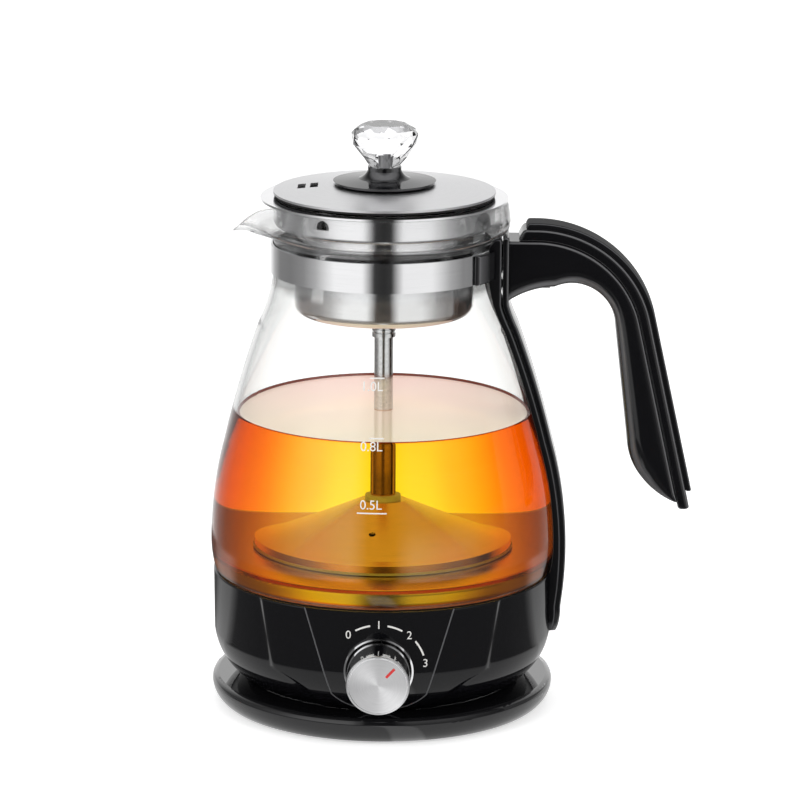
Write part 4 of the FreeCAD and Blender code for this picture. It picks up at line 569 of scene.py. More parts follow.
def grid_mesh(name, grid, close_rows=False, close_columns=True):
    """A smooth mesh of quads over (rows, columns, 3) points in metres, its poles merged."""
    rows, columns = grid.shape[:2]
    index = np.arange(rows * columns).reshape(rows, columns)
    down = np.arange(rows if close_rows else rows - 1)
    along = np.arange(columns if close_columns else columns - 1)
    r, c = (a.ravel() for a in np.meshgrid(down, along, indexing="ij"))
    r2, c2 = (r + 1) % rows, (c + 1) % columns
    quads = np.stack([index[r, c], index[r, c2], index[r2, c2], index[r2, c]], axis=1)
    made = new_piece(name, grid.reshape(-1, 3), quads.tolist())
    shape = bmesh.new()
    shape.from_mesh(made.data)
    bmesh.ops.remove_doubles(shape, verts=shape.verts, dist=1e-7)
    shape.to_mesh(made.data)
    shape.free()
    made.data.shade_smooth()
    return made


def round_angles(count):
    """That many angles evenly round a full turn."""
    return np.linspace(0, 2 * math.pi, count + 1)[:-1]


def turned(radius, angle, height):
    """Points in metres from a radius and a height in millimetres and an angle about Z."""
    return np.stack(np.broadcast_arrays(radius * np.cos(angle), radius * np.sin(angle), height),
                    axis=-1) * MM


def close_ends(grid):
    """Add a row before and after a grid, in which all points meet in their row's middle."""
    first, last = (row.mean(axis=1, keepdims=True) + 0 * row for row in (grid[:1], grid[-1:]))
    return np.concatenate([first, grid, last])


# %% Profile helpers
LEFT, RIGHT = 1, -1


def arc(start, end, radius, side, count):
    """Points after start on the arc to end that bends left or right with that radius.

    Its centre stands off the chord's middle by the root of radius squared less half the chord
    squared.
    """
    p, q = np.array(start, float), np.array(end, float)
    half = (q - p) / 2
    size = np.hypot(*half)
    across = np.array([-half[1], half[0]]) / size
    centre = p + half + across * side * math.sqrt(radius ** 2 - size ** 2)
    a, b = (math.atan2(*(v - centre)[::-1]) for v in (p, q))
    sweep = (b - a) % (2 * math.pi) if side == LEFT else -((a - b) % (2 * math.pi))
    angle = a + sweep * np.linspace(0, 1, count + 1)[1:]
    return centre + radius * np.stack([np.cos(angle), np.sin(angle)], axis=1)


def profile(steps, spacing=1.0):
    """Points along steps (x, y) or (x, y, radius, side), about spacing apart."""
    points = [np.array([steps[0][:2]], float)]
    for step in steps[1:]:
        start, end = points[-1][-1], np.array(step[:2], float)
        count = max(1, round(float(np.hypot(*(end - start))) / spacing))
        if len(step) == 4:
            points.append(arc(start, end, step[2], step[3], count))
        else:
            points.append(start + (end - start) * np.linspace(0, 1, count + 1)[1:, None])
    return np.concatenate(points)


def stand_in(piece, node_name, material, body):
    """Let a piece take a solid's place, its body and its slot, with its own finish."""
    piece.data.materials.clear()
    piece.data.materials.append(material)
    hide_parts(node_name)
    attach(piece, body)
    print(piece.name, "faces", len(piece.data.polygons))


# %% [markdown]
# ## Jug wall
#
# The wall is blown: a smooth belly, a straight neck under the band, a flared mouth and a beak
# pressed out of it. A turned profile gives everything but the beak. For that the points near -X
# move out and down, by a share that grows towards the rim and fades to both sides.

# %% Jug wall
NECK, NECK_TOP, RIM_TOP = 43.6, 187.0, 203.4
GLASS_WALL, LIP_SINK = 2.2, 1.0
SPOUT_REACH, SPOUT_DIP, SPOUT_LIFT, SPOUT_HALF_ANGLE = 11.6, 13.2, 2.2, math.radians(32)
FINE_FROM, FINE_TO = math.radians(150), math.radians(210)
FINE_COLUMNS, COARSE_COLUMNS, LIP_STEPS = 61, 181, 8


def belly_steps(grow):
    """The jug's side from foot to shoulder in millimetres, grown outwards."""
    return [(66.9 + grow, 55.2), (68.4 + grow, 66.0, 45 + grow, LEFT),
            (62.8 + grow, 108.0, 160 + grow, LEFT), (49.4 + grow, 154.0, 410 + grow, LEFT)]


def glass_side(grow):
    """The whole side, with the neck and the flared rim."""
    return profile(belly_steps(grow) + [
        (NECK + grow, 175.0, 60 - grow, RIGHT), (NECK + grow, NECK_TOP),
        (46.6 + grow, 190.8, 3.91, RIGHT), (49.6 + grow, 194.6, 3.91, LEFT),
        (48.4 + grow, RIM_TOP, 40 + grow, LEFT)])


def turn_with_spout(line, angles, inside):
    """Turn a profile about the axis; towards -X its top is drawn out and down into a beak.

    With u the angle from -X over the half angle, the pull fades as the square of 1 - u squared.
    A point's share of it grows with its height to the power 1.5, and the inner face falls less
    than the outer one.
    """
    radius, height = line[:, :1], line[:, 1:]
    off = np.abs(angles % (2 * math.pi) - math.pi)
    pull = np.clip(1 - (off / SPOUT_HALF_ANGLE) ** 2, 0, 1) ** 2
    share = np.clip((height - NECK_TOP) / (RIM_TOP - NECK_TOP), 0, 1) ** 1.5
    fall = SPOUT_DIP * share - SPOUT_LIFT * inside[:, None] * share ** 0.5
    return turned(radius + SPOUT_REACH * share * pull, angles, height - fall * pull ** 1.8)


def make_glass():
    """Outer wall, rounded rim, inner wall and foot edge in one closed grid.

    Its columns are finer round the beak. The rim is a half circle as wide as the wall.
    """
    outer, inner = glass_side(0.0), glass_side(-GLASS_WALL)
    lip = np.linspace(0, math.pi, LIP_STEPS)[1:-1]
    middle, half = (outer[-1, 0] + inner[-1, 0]) / 2, GLASS_WALL / 2
    cap = np.stack([middle + half * np.cos(lip), RIM_TOP - LIP_SINK + half * np.sin(lip)], axis=1)
    line = np.concatenate([outer[:-1], cap, inner[:-1][::-1]])
    inside = np.concatenate([np.zeros(len(outer) - 1), np.linspace(0, 1, len(cap)),
                             np.ones(len(inner) - 1)])
    fine = np.linspace(FINE_FROM, FINE_TO, FINE_COLUMNS)
    coarse = np.linspace(FINE_TO, FINE_FROM + 2 * math.pi, COARSE_COLUMNS)[1:-1]
    made = grid_mesh("jug_wall", turn_with_spout(line, np.concatenate([fine, coarse]), inside),
                     close_rows=True)
    made.data.materials.append(jug_glass)
    return made


jug_wall = make_glass()
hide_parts("glass_jug")
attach(jug_wall, "kettle")
print("jug wall faces", len(jug_wall.data.polygons))

# %% [markdown]
# ## The tea in the jug
#
# The liquid is one closed turned piece. It stands a hair off the glass, so that their surfaces
# don't fight, and its floor lies inside the pan's steel: a gap there would act as a mirror and
# hide the pan. Its edge climbs the wall, as water does on clean glass.

# %% The tea
TEA_LEVEL = 118.5
PAN_TOP, PAN_EDGE, TRENCH_FLOOR = 62.1, 63.5, 55.6
WALL_GAP = 0.25
EDGE_WIDTH, EDGE_CLIMB, EDGE_FALL, EDGE_TOP, EDGE_END = 1.4, 1.5, 0.8, 1.3, 10.0
EDGE_STEPS = np.array([0.4, 0.8, 1.3, 2.2, 3.6, 6.0])
TEA_COLUMNS, FLAT_ROWS, FLOOR_ROWS = 192, 24, 20


def make_tea_body():
    """The liquid from the pan up to a level, whose edge rises as exp(-distance from the wall)."""
    wall = glass_side(WALL_GAP - GLASS_WALL)
    wall = wall[(wall[:, 1] > TRENCH_FLOOR) & (wall[:, 1] < TEA_LEVEL + EDGE_TOP)]
    reach = wall[-1, 0]
    climb = EDGE_CLIMB * np.exp(-EDGE_STEPS / EDGE_FALL)
    rim = np.stack([reach - EDGE_STEPS, TEA_LEVEL + climb], axis=1)
    flat = np.stack([np.linspace(reach - EDGE_END, 0.0, FLAT_ROWS),
                     np.full(FLAT_ROWS, TEA_LEVEL)], axis=1)
    floor = np.stack([np.linspace(0.0, PAN_EDGE, FLOOR_ROWS),
                      np.full(FLOOR_ROWS, PAN_TOP)], axis=1)
    line = np.concatenate([floor, [(PAN_EDGE + 0.1, TRENCH_FLOOR)], wall, rim, flat])
    made = grid_mesh("tea", turned(line[:, :1], round_angles(TEA_COLUMNS), line[:, 1:]))
    for finish in (brewed_tea, tea_top, tea_edge):
        made.data.materials.append(finish)
    centre = np.empty(len(made.data.polygons) * 3)
    made.data.polygons.foreach_get("center", centre)
    x, y, z = centre.reshape(-1, 3).T / MM
    out = np.hypot(x, y)
    on_top = (z > TEA_LEVEL - 0.2) & (out <= reach - 0.1)
    kind = np.where(on_top, np.where(out > reach - EDGE_WIDTH, 2, 1), 0)
    made.data.polygons.foreach_set("material_index", kind.astype(np.int32))
    return made


tea = make_tea_body()
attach(tea, "kettle")
print("tea level", TEA_LEVEL, "faces", len(tea.data.polygons))

# %% [markdown]
# ## Handle
#
# The handle is three mouldings in layers, each with softly rounded edges that catch a thin line
# of light. A layer is a rounded box section carried along the hook, straight across from an outer
# line to an inner one, so that a layer's depth may change along its way, as the grip's does. At
# its two ends the section draws in along a quarter circle, so that the end is rounded too.

# %% Rounded section
CORNER_STEPS, CORNER_HOLD, ROUND_LIMIT = 6, 0.35, 0.98


def rounded_section(half_wide, depth, outer_round, inner_round):
    """Points (across, down) round a box for every row, its four corners quarter arcs.

    Each corner starts with one more point on the flat side, so that the smooth shading of the
    arc doesn't run out over the side.
    """
    limit = np.minimum(half_wide, depth / 2) * ROUND_LIMIT
    wide, deep = half_wide[:, None], depth[:, None]
    turn = np.linspace(0, math.pi / 2, CORNER_STEPS)
    corners = []
    for side, top in ((1, True), (1, False), (-1, False), (-1, True)):
        r = np.minimum(outer_round if top else inner_round, limit)[:, None]
        across = np.concatenate([wide - r - CORNER_HOLD * r, wide - r + r * np.sin(turn)], axis=1)
        drop = np.concatenate([0 * r, r - r * np.cos(turn)], axis=1)
        corner = np.stack([side * across, drop if top else deep - drop], axis=2)
        corners.append(corner if (side > 0) == top else corner[:, ::-1])
    return np.concatenate(corners, axis=1)


def end_draw(length, radius):
    """How far each row draws in at a path's ends: radius - root(radius ** 2 - inside ** 2)."""
    inside = np.clip(radius - np.minimum(length, length[-1] - length), 0, radius)
    return radius - np.sqrt(np.maximum(radius ** 2 - inside ** 2, 0))


# %% Carrying the section along the hook
ROW_SPACING, END_ROWS = 1.2, 7
SLIGHT, MOST_DRAW = 0.02, 0.45


def run_of(line):
    """The length along a line up to each of its points."""
    return np.concatenate([[0], np.cumsum(np.hypot(*np.diff(line, axis=0).T))])


def points_at(line, at):
    """Points on a line at those lengths along it."""
    length = run_of(line)
    return np.stack([np.interp(at, length, line[:, k]) for k in (0, 1)], axis=1)


def spaced_run(length, radius):
    """Lengths along a path, about evenly spaced and closer where its ends are rounded."""
    ease = radius * (1 - np.cos(np.linspace(0, math.pi / 2, END_ROWS)))[:-1]
    middle = np.linspace(radius, length - radius, max(2, int(length / ROW_SPACING)))
    return np.concatenate([ease, middle, length - ease[::-1]])


def between_lines(name, outer, inner, wide, outer_round, inner_round, end_round):
    """Section rows from an outer line straight across to an inner one, in the plane Y = 0.

    Both lines are read at equal shares of their length. A row's depth is the distance between
    its two points, its width lies along Y, and both draw in near the ends.
    """
    at = spaced_run(run_of(outer)[-1], end_round)
    top = points_at(outer, at)
    across = points_at(inner, at / at[-1] * run_of(inner)[-1]) - top
    depth = np.hypot(*across.T)
    way = across / np.maximum(depth, 1e-6)[:, None]
    draw = end_draw(at, end_round)
    half = np.maximum(wide / 2 - draw, SLIGHT)
    thick = np.maximum(depth - 2 * np.minimum(draw, MOST_DRAW * depth), SLIGHT)
    ring = rounded_section(half, thick, outer_round, inner_round)
    down = ring[..., 1] + ((depth - thick) / 2)[:, None]
    grid = np.stack([top[:, :1] + way[:, :1] * down, ring[..., 0],
                     top[:, 1:] + way[:, 1:] * down], axis=2)
    return grid_mesh(name, close_ends(grid)[:, ::-1] * MM)


# %% Layers of the hook
HOOK_LEFT, HOOK_TOP, HOOK_RADIUS, HOOK_FALL = 59.9, 195.2, 48.2, math.radians(77.5)
CAP_DEPTH, SPINE_DEPTH = 2.2, 4.4
GRIP_DEPTH = CAP_DEPTH + SPINE_DEPTH


def hook_line(inset, start, end):
    """Along the top, round the bend and down: a line that far inside the hook's outer one."""
    radius = HOOK_RADIUS - inset
    centre = HOOK_TOP - HOOK_RADIUS
    knee = (HOOK_LEFT + radius * math.sin(HOOK_FALL), centre + radius * math.cos(HOOK_FALL))
    low = knee[0] + (knee[1] - end) / math.tan(HOOK_FALL)
    return profile([(start, centre + radius), (HOOK_LEFT, centre + radius),
                    (*knee, radius, RIGHT), (low, end)])


def grip_inner():
    """The hand's side of the grip: a low arch from the post, then down to a blunt end."""
    end = hook_line(GRIP_DEPTH, 46.4, 84.0)[-1]
    return profile([(48.0, 163.2), (67.0, 169.8, 34, RIGHT), (91.0, 155.4, 17, RIGHT),
                    (96.4, 109.0), (*end, 27, LEFT)])


# Piece, its solid, its finish, outer and inner line, then its width and the rounding of its outer
# edges, its inner edges and its ends.
HOOK_LAYERS = [
    ("hook_cap", "handle_cap", cap_black, hook_line(0, 56.4, 87.6),
     hook_line(CAP_DEPTH, 55.4, 87.6), (12.6, 0.9, 0.3, 0.8)),
    ("hook_spine", "handle_spine", handle_black, hook_line(CAP_DEPTH, 54.6, 80.6),
     hook_line(GRIP_DEPTH, 52.4, 80.6), (17.0, 1.5, 0.8, 1.4)),
    ("hook_grip", "handle_grip", handle_black, hook_line(GRIP_DEPTH, 48.0, 84.0),
     grip_inner(), (21.0, 1.6, 6.5, 1.2))]
for name, solid, black, outer, inner, sizes in HOOK_LAYERS:
    stand_in(between_lines(name, outer, inner, *sizes), solid, black, "kettle")

# %% [markdown]
# ## Strap
#
# Below the post a long strap follows the glass down to the housing: a channel and over it a
# narrower cover, both bent round the jug's axis and ending in a round tongue that turns in. At
# each height the section is a rounded box laid on a circle about the axis. Two ears reach round
# the band at the top.

# %% Strap
POST_LOW, POST_TOP, POST_OUTER, POST_ROUND = 164.0, 190.6, 48.4, 1.0
FRAME_GAP, FRAME_DEPTH, COVER_DEPTH = 0.5, 2.1, 2.0
STRAP_HALF, STRAP_LOW_HALF, STRAP_LOW, STRAP_END, TONGUE = 16.0, 8.4, 38.0, 28.0, 8.0
TONGUE_ROWS, STRAP_ROWS, TOP_ROWS = 9, 130, 6
THINNEST, SIDE_DRAW, INNER_SHARE = 0.05, 0.8, 0.6


def strap_line(grow, end_radius):
    """The strap's outer side: from its turned-in end past the belly to the post's top."""
    side = belly_steps(FRAME_GAP + FRAME_DEPTH + grow)
    return profile([(end_radius + grow, STRAP_END - 1.0), (69.4 + grow, 40.0, 30, LEFT),
                    (71.2 + grow, 66.0, 170, LEFT)]
                   + side[2:] + [(POST_OUTER + grow, POST_LOW, 60, RIGHT),
                                 (POST_OUTER + grow, POST_TOP)])


def strap_inner():
    """The channel's inner side: close to the housing, the glass and then the neck."""
    return profile([(65.6, STRAP_END - 1.0), (66.7, 40.0), (66.9, 54.0)]
                   + belly_steps(0.1)[1:]
                   + [(NECK + 0.1, 175.0, 60, RIGHT), (NECK + 0.1, NECK_TOP),
                      (NECK + 2.7, POST_TOP)])


def half_width(height, step):
    """Half the strap's width: a straight taper down from the post, then a tongue as an ellipse."""
    top, low = STRAP_HALF - step, STRAP_LOW_HALF - step / 2
    wide = np.interp(height, [STRAP_LOW, POST_LOW], [low, top])
    fall = np.clip((STRAP_LOW - height) / (STRAP_LOW - STRAP_END), 0, 1)
    return wide * np.sqrt(np.maximum(1 - fall ** 2, 0.0004))


def bent_strip(name, outer, inner, step, edge):
    """Rounded box sections on circles about Z, from the tongue up to the post's top.

    A point's radius is the outer line's minus its place down the section, and its angle is its
    place across divided by that radius.
    """
    low, high = STRAP_END + SLIGHT, POST_TOP - POST_ROUND
    ease = 1 - np.cos(np.linspace(0, math.pi / 2, TONGUE_ROWS))
    rise = np.sin(np.linspace(0, math.pi / 2, TOP_ROWS))[1:]
    height = np.concatenate([low + TONGUE * ease[:-1], np.linspace(low + TONGUE, high, STRAP_ROWS),
                             high + POST_ROUND * rise])
    far = np.interp(height, outer[:, 1], outer[:, 0])
    near = np.interp(height, inner[:, 1], inner[:, 0])
    above = np.clip(height - high, 0, POST_ROUND)
    draw = POST_ROUND - np.sqrt(np.maximum(POST_ROUND ** 2 - above ** 2, 0))
    half = np.maximum(half_width(height, step) - draw, THINNEST)
    depth = np.maximum(far - near - 2 * SIDE_DRAW * draw, THINNEST)
    ring = rounded_section(half, depth, edge, edge * INNER_SHARE)
    radius = (far - SIDE_DRAW * draw)[:, None] - ring[..., 1]
    grid = turned(radius, ring[..., 0] / radius, height[:, None])
    return grid_mesh(name, close_ends(grid)[:, ::-1])


strap_frame = bent_strip("strap_frame", strap_line(0, 67.4), strap_inner(), 0.0, 0.9)
strap_strip = bent_strip("strap_strip", strap_line(COVER_DEPTH, 66.9), strap_line(-0.2, 67.2),
                         3.2, 0.8)
stand_in(strap_frame, "handle_frame", cap_black, "kettle")
stand_in(strap_strip, "strap_cover", handle_black, "kettle")

# %% Ears of the strap
EAR_INNER, EAR_OUTER, EAR_LOW, EAR_HIGH = 44.8, 46.7, 174.8, 186.4
EAR_REACH = math.radians(38.0)
EAR_ROWS, EAR_ROUND, EAR_DRAW = 61, (0.7, 0.3, 1.2), 1.4


def make_ears():
    """Two ears on the band: a rounded box section carried round the axis to each side."""
    outer_round, inner_round, end_round = EAR_ROUND
    length = np.linspace(-EAR_REACH, EAR_REACH, EAR_ROWS) * EAR_OUTER
    draw = end_draw(length - length[0], end_round)
    half = np.full(EAR_ROWS, (EAR_HIGH - EAR_LOW) / 2)
    ring = rounded_section(half, EAR_OUTER - EAR_INNER - EAR_DRAW * draw, outer_round, inner_round)
    radius = (EAR_OUTER - draw)[:, None] - ring[..., 1]
    grid = turned(radius, (length / EAR_OUTER)[:, None], (EAR_LOW + EAR_HIGH) / 2 + ring[..., 0])
    return grid_mesh("strap_ears", close_ends(grid))


strap_ears = make_ears()
strap_ears.data.materials.append(handle_black)
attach(strap_ears, "kettle")
print("strap ears faces", len(strap_ears.data.polygons))

# %% [markdown]
# ## Cut stone of the lid's knob
#
# The clear knob is cut in tiers. Each tier is a ring of corners, turned by half a side from the
# ring below, so that the faces between two rings are triangles, which is how a cut stone
# scatters light into small bright and dark facets.

# %% Crystal
STONE_SIDES, STONE_TURN = 10, 0.25
STONE_RINGS = [(216.6, 6.0, 0), (220.2, 8.8, 1), (225.2, 12.4, 0), (229.4, 13.3, 1),
               (231.4, 12.0, 0), (233.3, 8.6, 1)]


def make_crystal():
    """Rings (height, radius, half-side turns) joined by triangles, closed above and below.

    A corner's angle, counted in sides, is its number plus a fixed turn of the whole stone, and
    half a side more where the ring is turned.
    """
    here = np.arange(STONE_SIDES)
    after = (here + 1) % STONE_SIDES
    points = np.concatenate([
        turned(radius, (here + 0.5 * shift + STONE_TURN) * 2 * math.pi / STONE_SIDES, height)
        for height, radius, shift in STONE_RINGS])
    faces = []
    for k in range(len(STONE_RINGS) - 1):
        low, high = k * STONE_SIDES, (k + 1) * STONE_SIDES
        leans_on = STONE_RINGS[k + 1][2] > STONE_RINGS[k][2]
        tip, foot = (here, after) if leans_on else (after, here)
        faces += np.stack([low + here, low + after, high + tip], axis=1).tolist()
        faces += np.stack([high + here, low + foot, high + after], axis=1).tolist()
    top = (len(STONE_RINGS) - 1) * STONE_SIDES
    faces += [here[::-1].tolist(), (top + here).tolist()]
    return new_piece("cut_stone", points, faces)


stand_in(make_crystal(), "crystal_knob", crystal, "lid")

# %% [markdown]
# ## Housing
#
# The housing is a turned bowl with two raised lobes, front and back, whose edges sweep down and
# meet near the foot. Its grid follows those edges: at every height the columns are spread so that
# a few of them run exactly along a lobe's edge, where the radius rises on a soft step. The inner
# wall closes the shell.

# %% Housing shell
HOUSING_TOP, HOUSING_LOW, HOUSING_WAIST = 54.8, 11.3, 30.0
SHELL_WALL, SHELL_ROUND, ROUND_STEPS = 2.2, 0.6, 5
LOBE_RISE, LOBE_SOFT, LOBE_KNEE, LOBE_CORNER = 1.2, 2.0, 27.0, 26.0
LOBE_FOOT_HALF, LOBE_LOW_HALF, LOBE_TOP_HALF = 22.3, 41.5, 46.0
LOBE_COLUMNS, EDGE_COLUMNS, FLANK_COLUMNS = 45, 9, 21


def housing_side(grow):
    """The bowl's side from its foot up to the top edge."""
    return profile([(54.5 + grow, HOUSING_LOW), (67.1 + grow, HOUSING_WAIST, 24 + grow, LEFT),
                    (67.4 + grow, HOUSING_TOP)], 0.8)


def lobe_edge(height):
    """Half the lobe's width at a height: straight down to the knee, then in along an arc."""
    straight = np.interp(height, [LOBE_KNEE, HOUSING_TOP], [LOBE_LOW_HALF, LOBE_TOP_HALF])
    curve = profile([(LOBE_FOOT_HALF, HOUSING_LOW),
                     (LOBE_LOW_HALF, LOBE_KNEE, LOBE_CORNER, RIGHT)], 0.5)
    return np.where(height < LOBE_KNEE, np.interp(height, curve[:, 1], curve[:, 0]), straight)


def shell_columns(radius, height):
    """Angles of every row's columns, and each column's share of the lobe's rise.

    A quarter turn has columns on the lobe, others across its edge, where the share falls as
    half a sine wave, and the rest on the flank. It is mirrored to a half turn, and that to a
    full one.
    """
    edge = np.arcsin(np.clip(lobe_edge(height) / radius, 0, 0.999))[:, None]
    half_step = (LOBE_SOFT / radius)[:, None]
    step = np.linspace(-1, 1, EDGE_COLUMNS)
    on_lobe = np.linspace(0, 1, LOBE_COLUMNS + 1)[:-1] * (edge - half_step)
    on_edge = edge + step * half_step
    start = on_edge[:, -1:]
    flank = start + np.linspace(0, 1, FLANK_COLUMNS + 1)[1:] * (math.pi / 2 - start)
    quarter = np.concatenate([on_lobe, on_edge, flank], axis=1)
    share = np.concatenate([np.ones(LOBE_COLUMNS), 0.5 - 0.5 * np.sin(step * math.pi / 2),
                            np.zeros(FLANK_COLUMNS)])
    half = np.concatenate([quarter, math.pi - quarter[:, ::-1][:, 1:]], axis=1)
    share = np.concatenate([share, share[::-1][1:]])
    return (np.concatenate([half, 2 * math.pi - half[:, ::-1][:, 1:-1]], axis=1),
            np.concatenate([share, share[::-1][1:-1]]))


def make_shell():
    """Outer side with lobes, rounded top edge and inner wall, as one closed grid.

    The outer radius is the bowl's plus the lobe's rise times the column's share of it. The top
    edge is a quarter circle, and the inner radius is the bowl's less the wall.
    """
    radius, height = housing_side(0).T
    angle, share = shell_columns(radius, height)
    outer = radius[:, None] + LOBE_RISE * share
    outer_z = height[:, None] + 0 * outer
    outer_z[-1] -= SHELL_ROUND
    turn = np.linspace(0, math.pi / 2, ROUND_STEPS + 1)[1:, None]
    edge_r = outer[-1] - SHELL_ROUND + SHELL_ROUND * np.cos(turn)
    edge_z = HOUSING_TOP - SHELL_ROUND + SHELL_ROUND * np.sin(turn) + 0 * edge_r
    inner = radius[::-1, None] - SHELL_WALL + 0 * outer
    r = np.concatenate([outer, edge_r, inner])
    z = np.concatenate([outer_z, edge_z, height[::-1, None] + 0 * outer])
    a = np.concatenate([angle, np.repeat(angle[-1:], ROUND_STEPS, axis=0), angle[::-1]])
    return grid_mesh("shell", turned(r, a - math.pi / 2, z), close_rows=True)


stand_in(make_shell(), "base_housing", shell_black, "kettle")

# %% [markdown]
# The panel let into the front lobe has a fine rounded rim that shows as a thin light line. It is
# a bead carried along the tongue's outline, on the panel's own surface, and its pale grey is a
# painted highlight on the black.

# %% Panel rim
PANEL_RISE = 1.5
PANEL_TOP = HOUSING_TOP - 0.1
PANEL_TOP_HALF, PANEL_HALF, PANEL_LOW, PANEL_TIP = 28.8, 18.4, 20.0, 11.9
RIM_THICK, RIM_SINK, RIM_STEPS = 0.32, 0.1, 10


def panel_outline():
    """The tongue's outline (across, up): down one side, round the tip and up the other.

    The tip's radius is half its width squared plus its drop squared, over twice the drop.
    """
    drop = PANEL_LOW - PANEL_TIP
    curve = (PANEL_HALF ** 2 + drop ** 2) / (2 * drop)
    return profile([(-PANEL_TOP_HALF, PANEL_TOP), (-PANEL_HALF, PANEL_LOW),
                    (0.0, PANEL_TIP, curve, LEFT), (PANEL_HALF, PANEL_LOW, curve, LEFT),
                    (PANEL_TOP_HALF, PANEL_TOP)], 0.7)


def unit(vectors):
    """The same directions with length 1."""
    return vectors / np.linalg.norm(vectors, axis=1)[:, None]


def make_rim():
    """A round bead along the outline, its centre just under the panel's face.

    Its circle is cosine times the outward direction plus sine times the sideways one, both square
    to the path.
    """
    line = panel_outline()
    side = housing_side(PANEL_RISE)
    reach = np.interp(line[:, 1], side[:, 1], side[:, 0]) - RIM_SINK
    depth = -np.sqrt(np.maximum(reach ** 2 - line[:, 0] ** 2, 0))
    path = np.stack([line[:, 0], depth, line[:, 1]], axis=1)
    ahead = unit(np.gradient(path, axis=0))
    out = unit(path * (1, 1, 0))
    out = unit(out - (out * ahead).sum(axis=1)[:, None] * ahead)
    turn = round_angles(RIM_STEPS)[:, None]
    ring = np.cos(turn) * out[:, None] + np.sin(turn) * np.cross(ahead, out)[:, None]
    return grid_mesh("panel_rim", close_ends(path[:, None] + RIM_THICK * ring) * MM)


rim_bead = make_rim()
rim_bead.data.materials.append(painted_rim_highlight)
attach(rim_bead, "kettle")
print("panel rim faces", len(rim_bead.data.polygons))

# %% [markdown]
# ## Two thin rings
#
# A bright bead rounds off the knob's face, and a rubber ring seals the lid. Both are an oval
# carried round an axis. The knob's is made about Z and then laid on the knob's own axis, which
# points forwards and a little down.

# %% Rings
# Radius, height, half width and half height of the oval in millimetres, and columns round.
KNOB_BEAD = (11.72, 14.25, 0.5, 0.3, 96)
SEAL_BEAD = (42.7, 205.45, 0.65, 0.5, 144)
OVAL_STEPS = 12


def oval_ring(radius, height, wide, tall, count):
    """Points of a ring about Z: radius and height sway by the cosine and sine of a small turn."""
    turn = round_angles(OVAL_STEPS)[:, None]
    return turned(radius + wide * np.cos(turn), round_angles(count), height + tall * np.sin(turn))


def on_knob(points):
    """Points about Z laid on the knob's axis: up becomes forwards, sideways Y becomes down."""
    sine, cosine = math.sin(KNOB_TILT), math.cos(KNOB_TILT)
    return points @ np.array([(1, 0, 0), (0, sine, -cosine), (0, -cosine, -sine)]) + KNOB_CENTRE


knob_rim = grid_mesh("knob_rim", on_knob(oval_ring(*KNOB_BEAD)), close_rows=True)
knob_rim.data.materials.append(spun_aluminium)
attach(knob_rim, "knob")
print("knob rim faces", len(knob_rim.data.polygons))
seal = grid_mesh("seal_ring", oval_ring(*SEAL_BEAD)[::-1], close_rows=True)
stand_in(seal, "lid_seal", soft_rubber, "lid")

# %% [markdown]
# ## Printed marks
#
# The level marks on the glass and the numbers round the dial are prints. Flat text and bars are
# made in a plane, turned into a mesh, and each point is then laid on the curved surface: its
# place across becomes an angle about the axis, and its height stays.

# %% Flat marks
PRINT_LIFT, PRINT_HALF = 0.06, 0.02
BAR_ROWS = 13


def flat_text(words, size):
    """The points and faces of a centred word in the plane, in millimetres."""
    curve = bpy.data.curves.new("word", "FONT")
    curve.body = words
    curve.size = size
    curve.align_x, curve.align_y = "CENTER", "CENTER"
    curve.extrude = PRINT_HALF
    made = bpy.data.objects.new("word", curve)
    mesh = bpy.data.meshes.new_from_object(made)
    points = np.empty(len(mesh.vertices) * 3)
    mesh.vertices.foreach_get("co", points)
    faces = [list(face.vertices) for face in mesh.polygons]
    bpy.data.objects.remove(made)
    return points.reshape(-1, 3), faces


def flat_bar(length, width, bend=0.0):
    """A bar in the plane as a closed box, bent to an arc about a centre that far below.

    Bent, its place along becomes an angle, and its place across a change of radius.
    """
    grid = np.zeros((BAR_ROWS, 4, 3))
    grid[..., 0] = np.linspace(-length / 2, length / 2, BAR_ROWS)[:, None]
    grid[..., 1:] = np.array([(-1, -1), (1, -1), (1, 1), (-1, 1)]) * (width / 2, PRINT_HALF)
    if bend:
        angle, radius = grid[..., 0] / bend, bend + grid[..., 1]
        grid[..., 0], grid[..., 1] = radius * np.sin(angle), radius * np.cos(angle) - bend
    index = np.arange(BAR_ROWS * 4).reshape(BAR_ROWS, 4)
    k, j = (a.ravel() for a in np.meshgrid(np.arange(BAR_ROWS - 1), np.arange(4), indexing="ij"))
    after = (j + 1) % 4
    quads = np.stack([index[k, j], index[k + 1, j], index[k + 1, after], index[k, after]], axis=1)
    return grid.reshape(-1, 3), quads.tolist() + [index[0].tolist(), index[-1, ::-1].tolist()]


def laid_on(name, marks, side):
    """Join flat marks (points, faces, across, up) and lay them on a turned surface.

    A point's angle from -Y is its place across divided by the surface's radius at its height.
    """
    points, faces, start = [], [], 0
    for flat, polygons, across, up in marks:
        points.append(flat + (across, up, 0))
        faces += [[v + start for v in face] for face in polygons]
        start += len(flat)
    across, up, lift = np.concatenate(points).T
    order = np.argsort(side[:, 1])
    reach = np.interp(up, side[order, 1], side[order, 0])
    place = turned(reach + PRINT_LIFT + lift, across / reach - math.pi / 2, up)
    made = new_piece(name, place, faces)
    made.data.materials.append(white_print)
    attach(made, "kettle")
    print(name, "faces", len(faces))
    return made


# %% Level marks
MARK_ACROSS, MARK_SIZE, MARK_WIDTH, NUMBER_BACK = -3.0, 5.0, 0.5, 0.4
LEVELS = [("1.0L", 143.6, -3.2, 5.5, 1.6), ("0.8L", 121.4, -3.2, 5.5, 1.6),
          ("0.5L", 93.4, 3.0, 11.5, 0.0)]


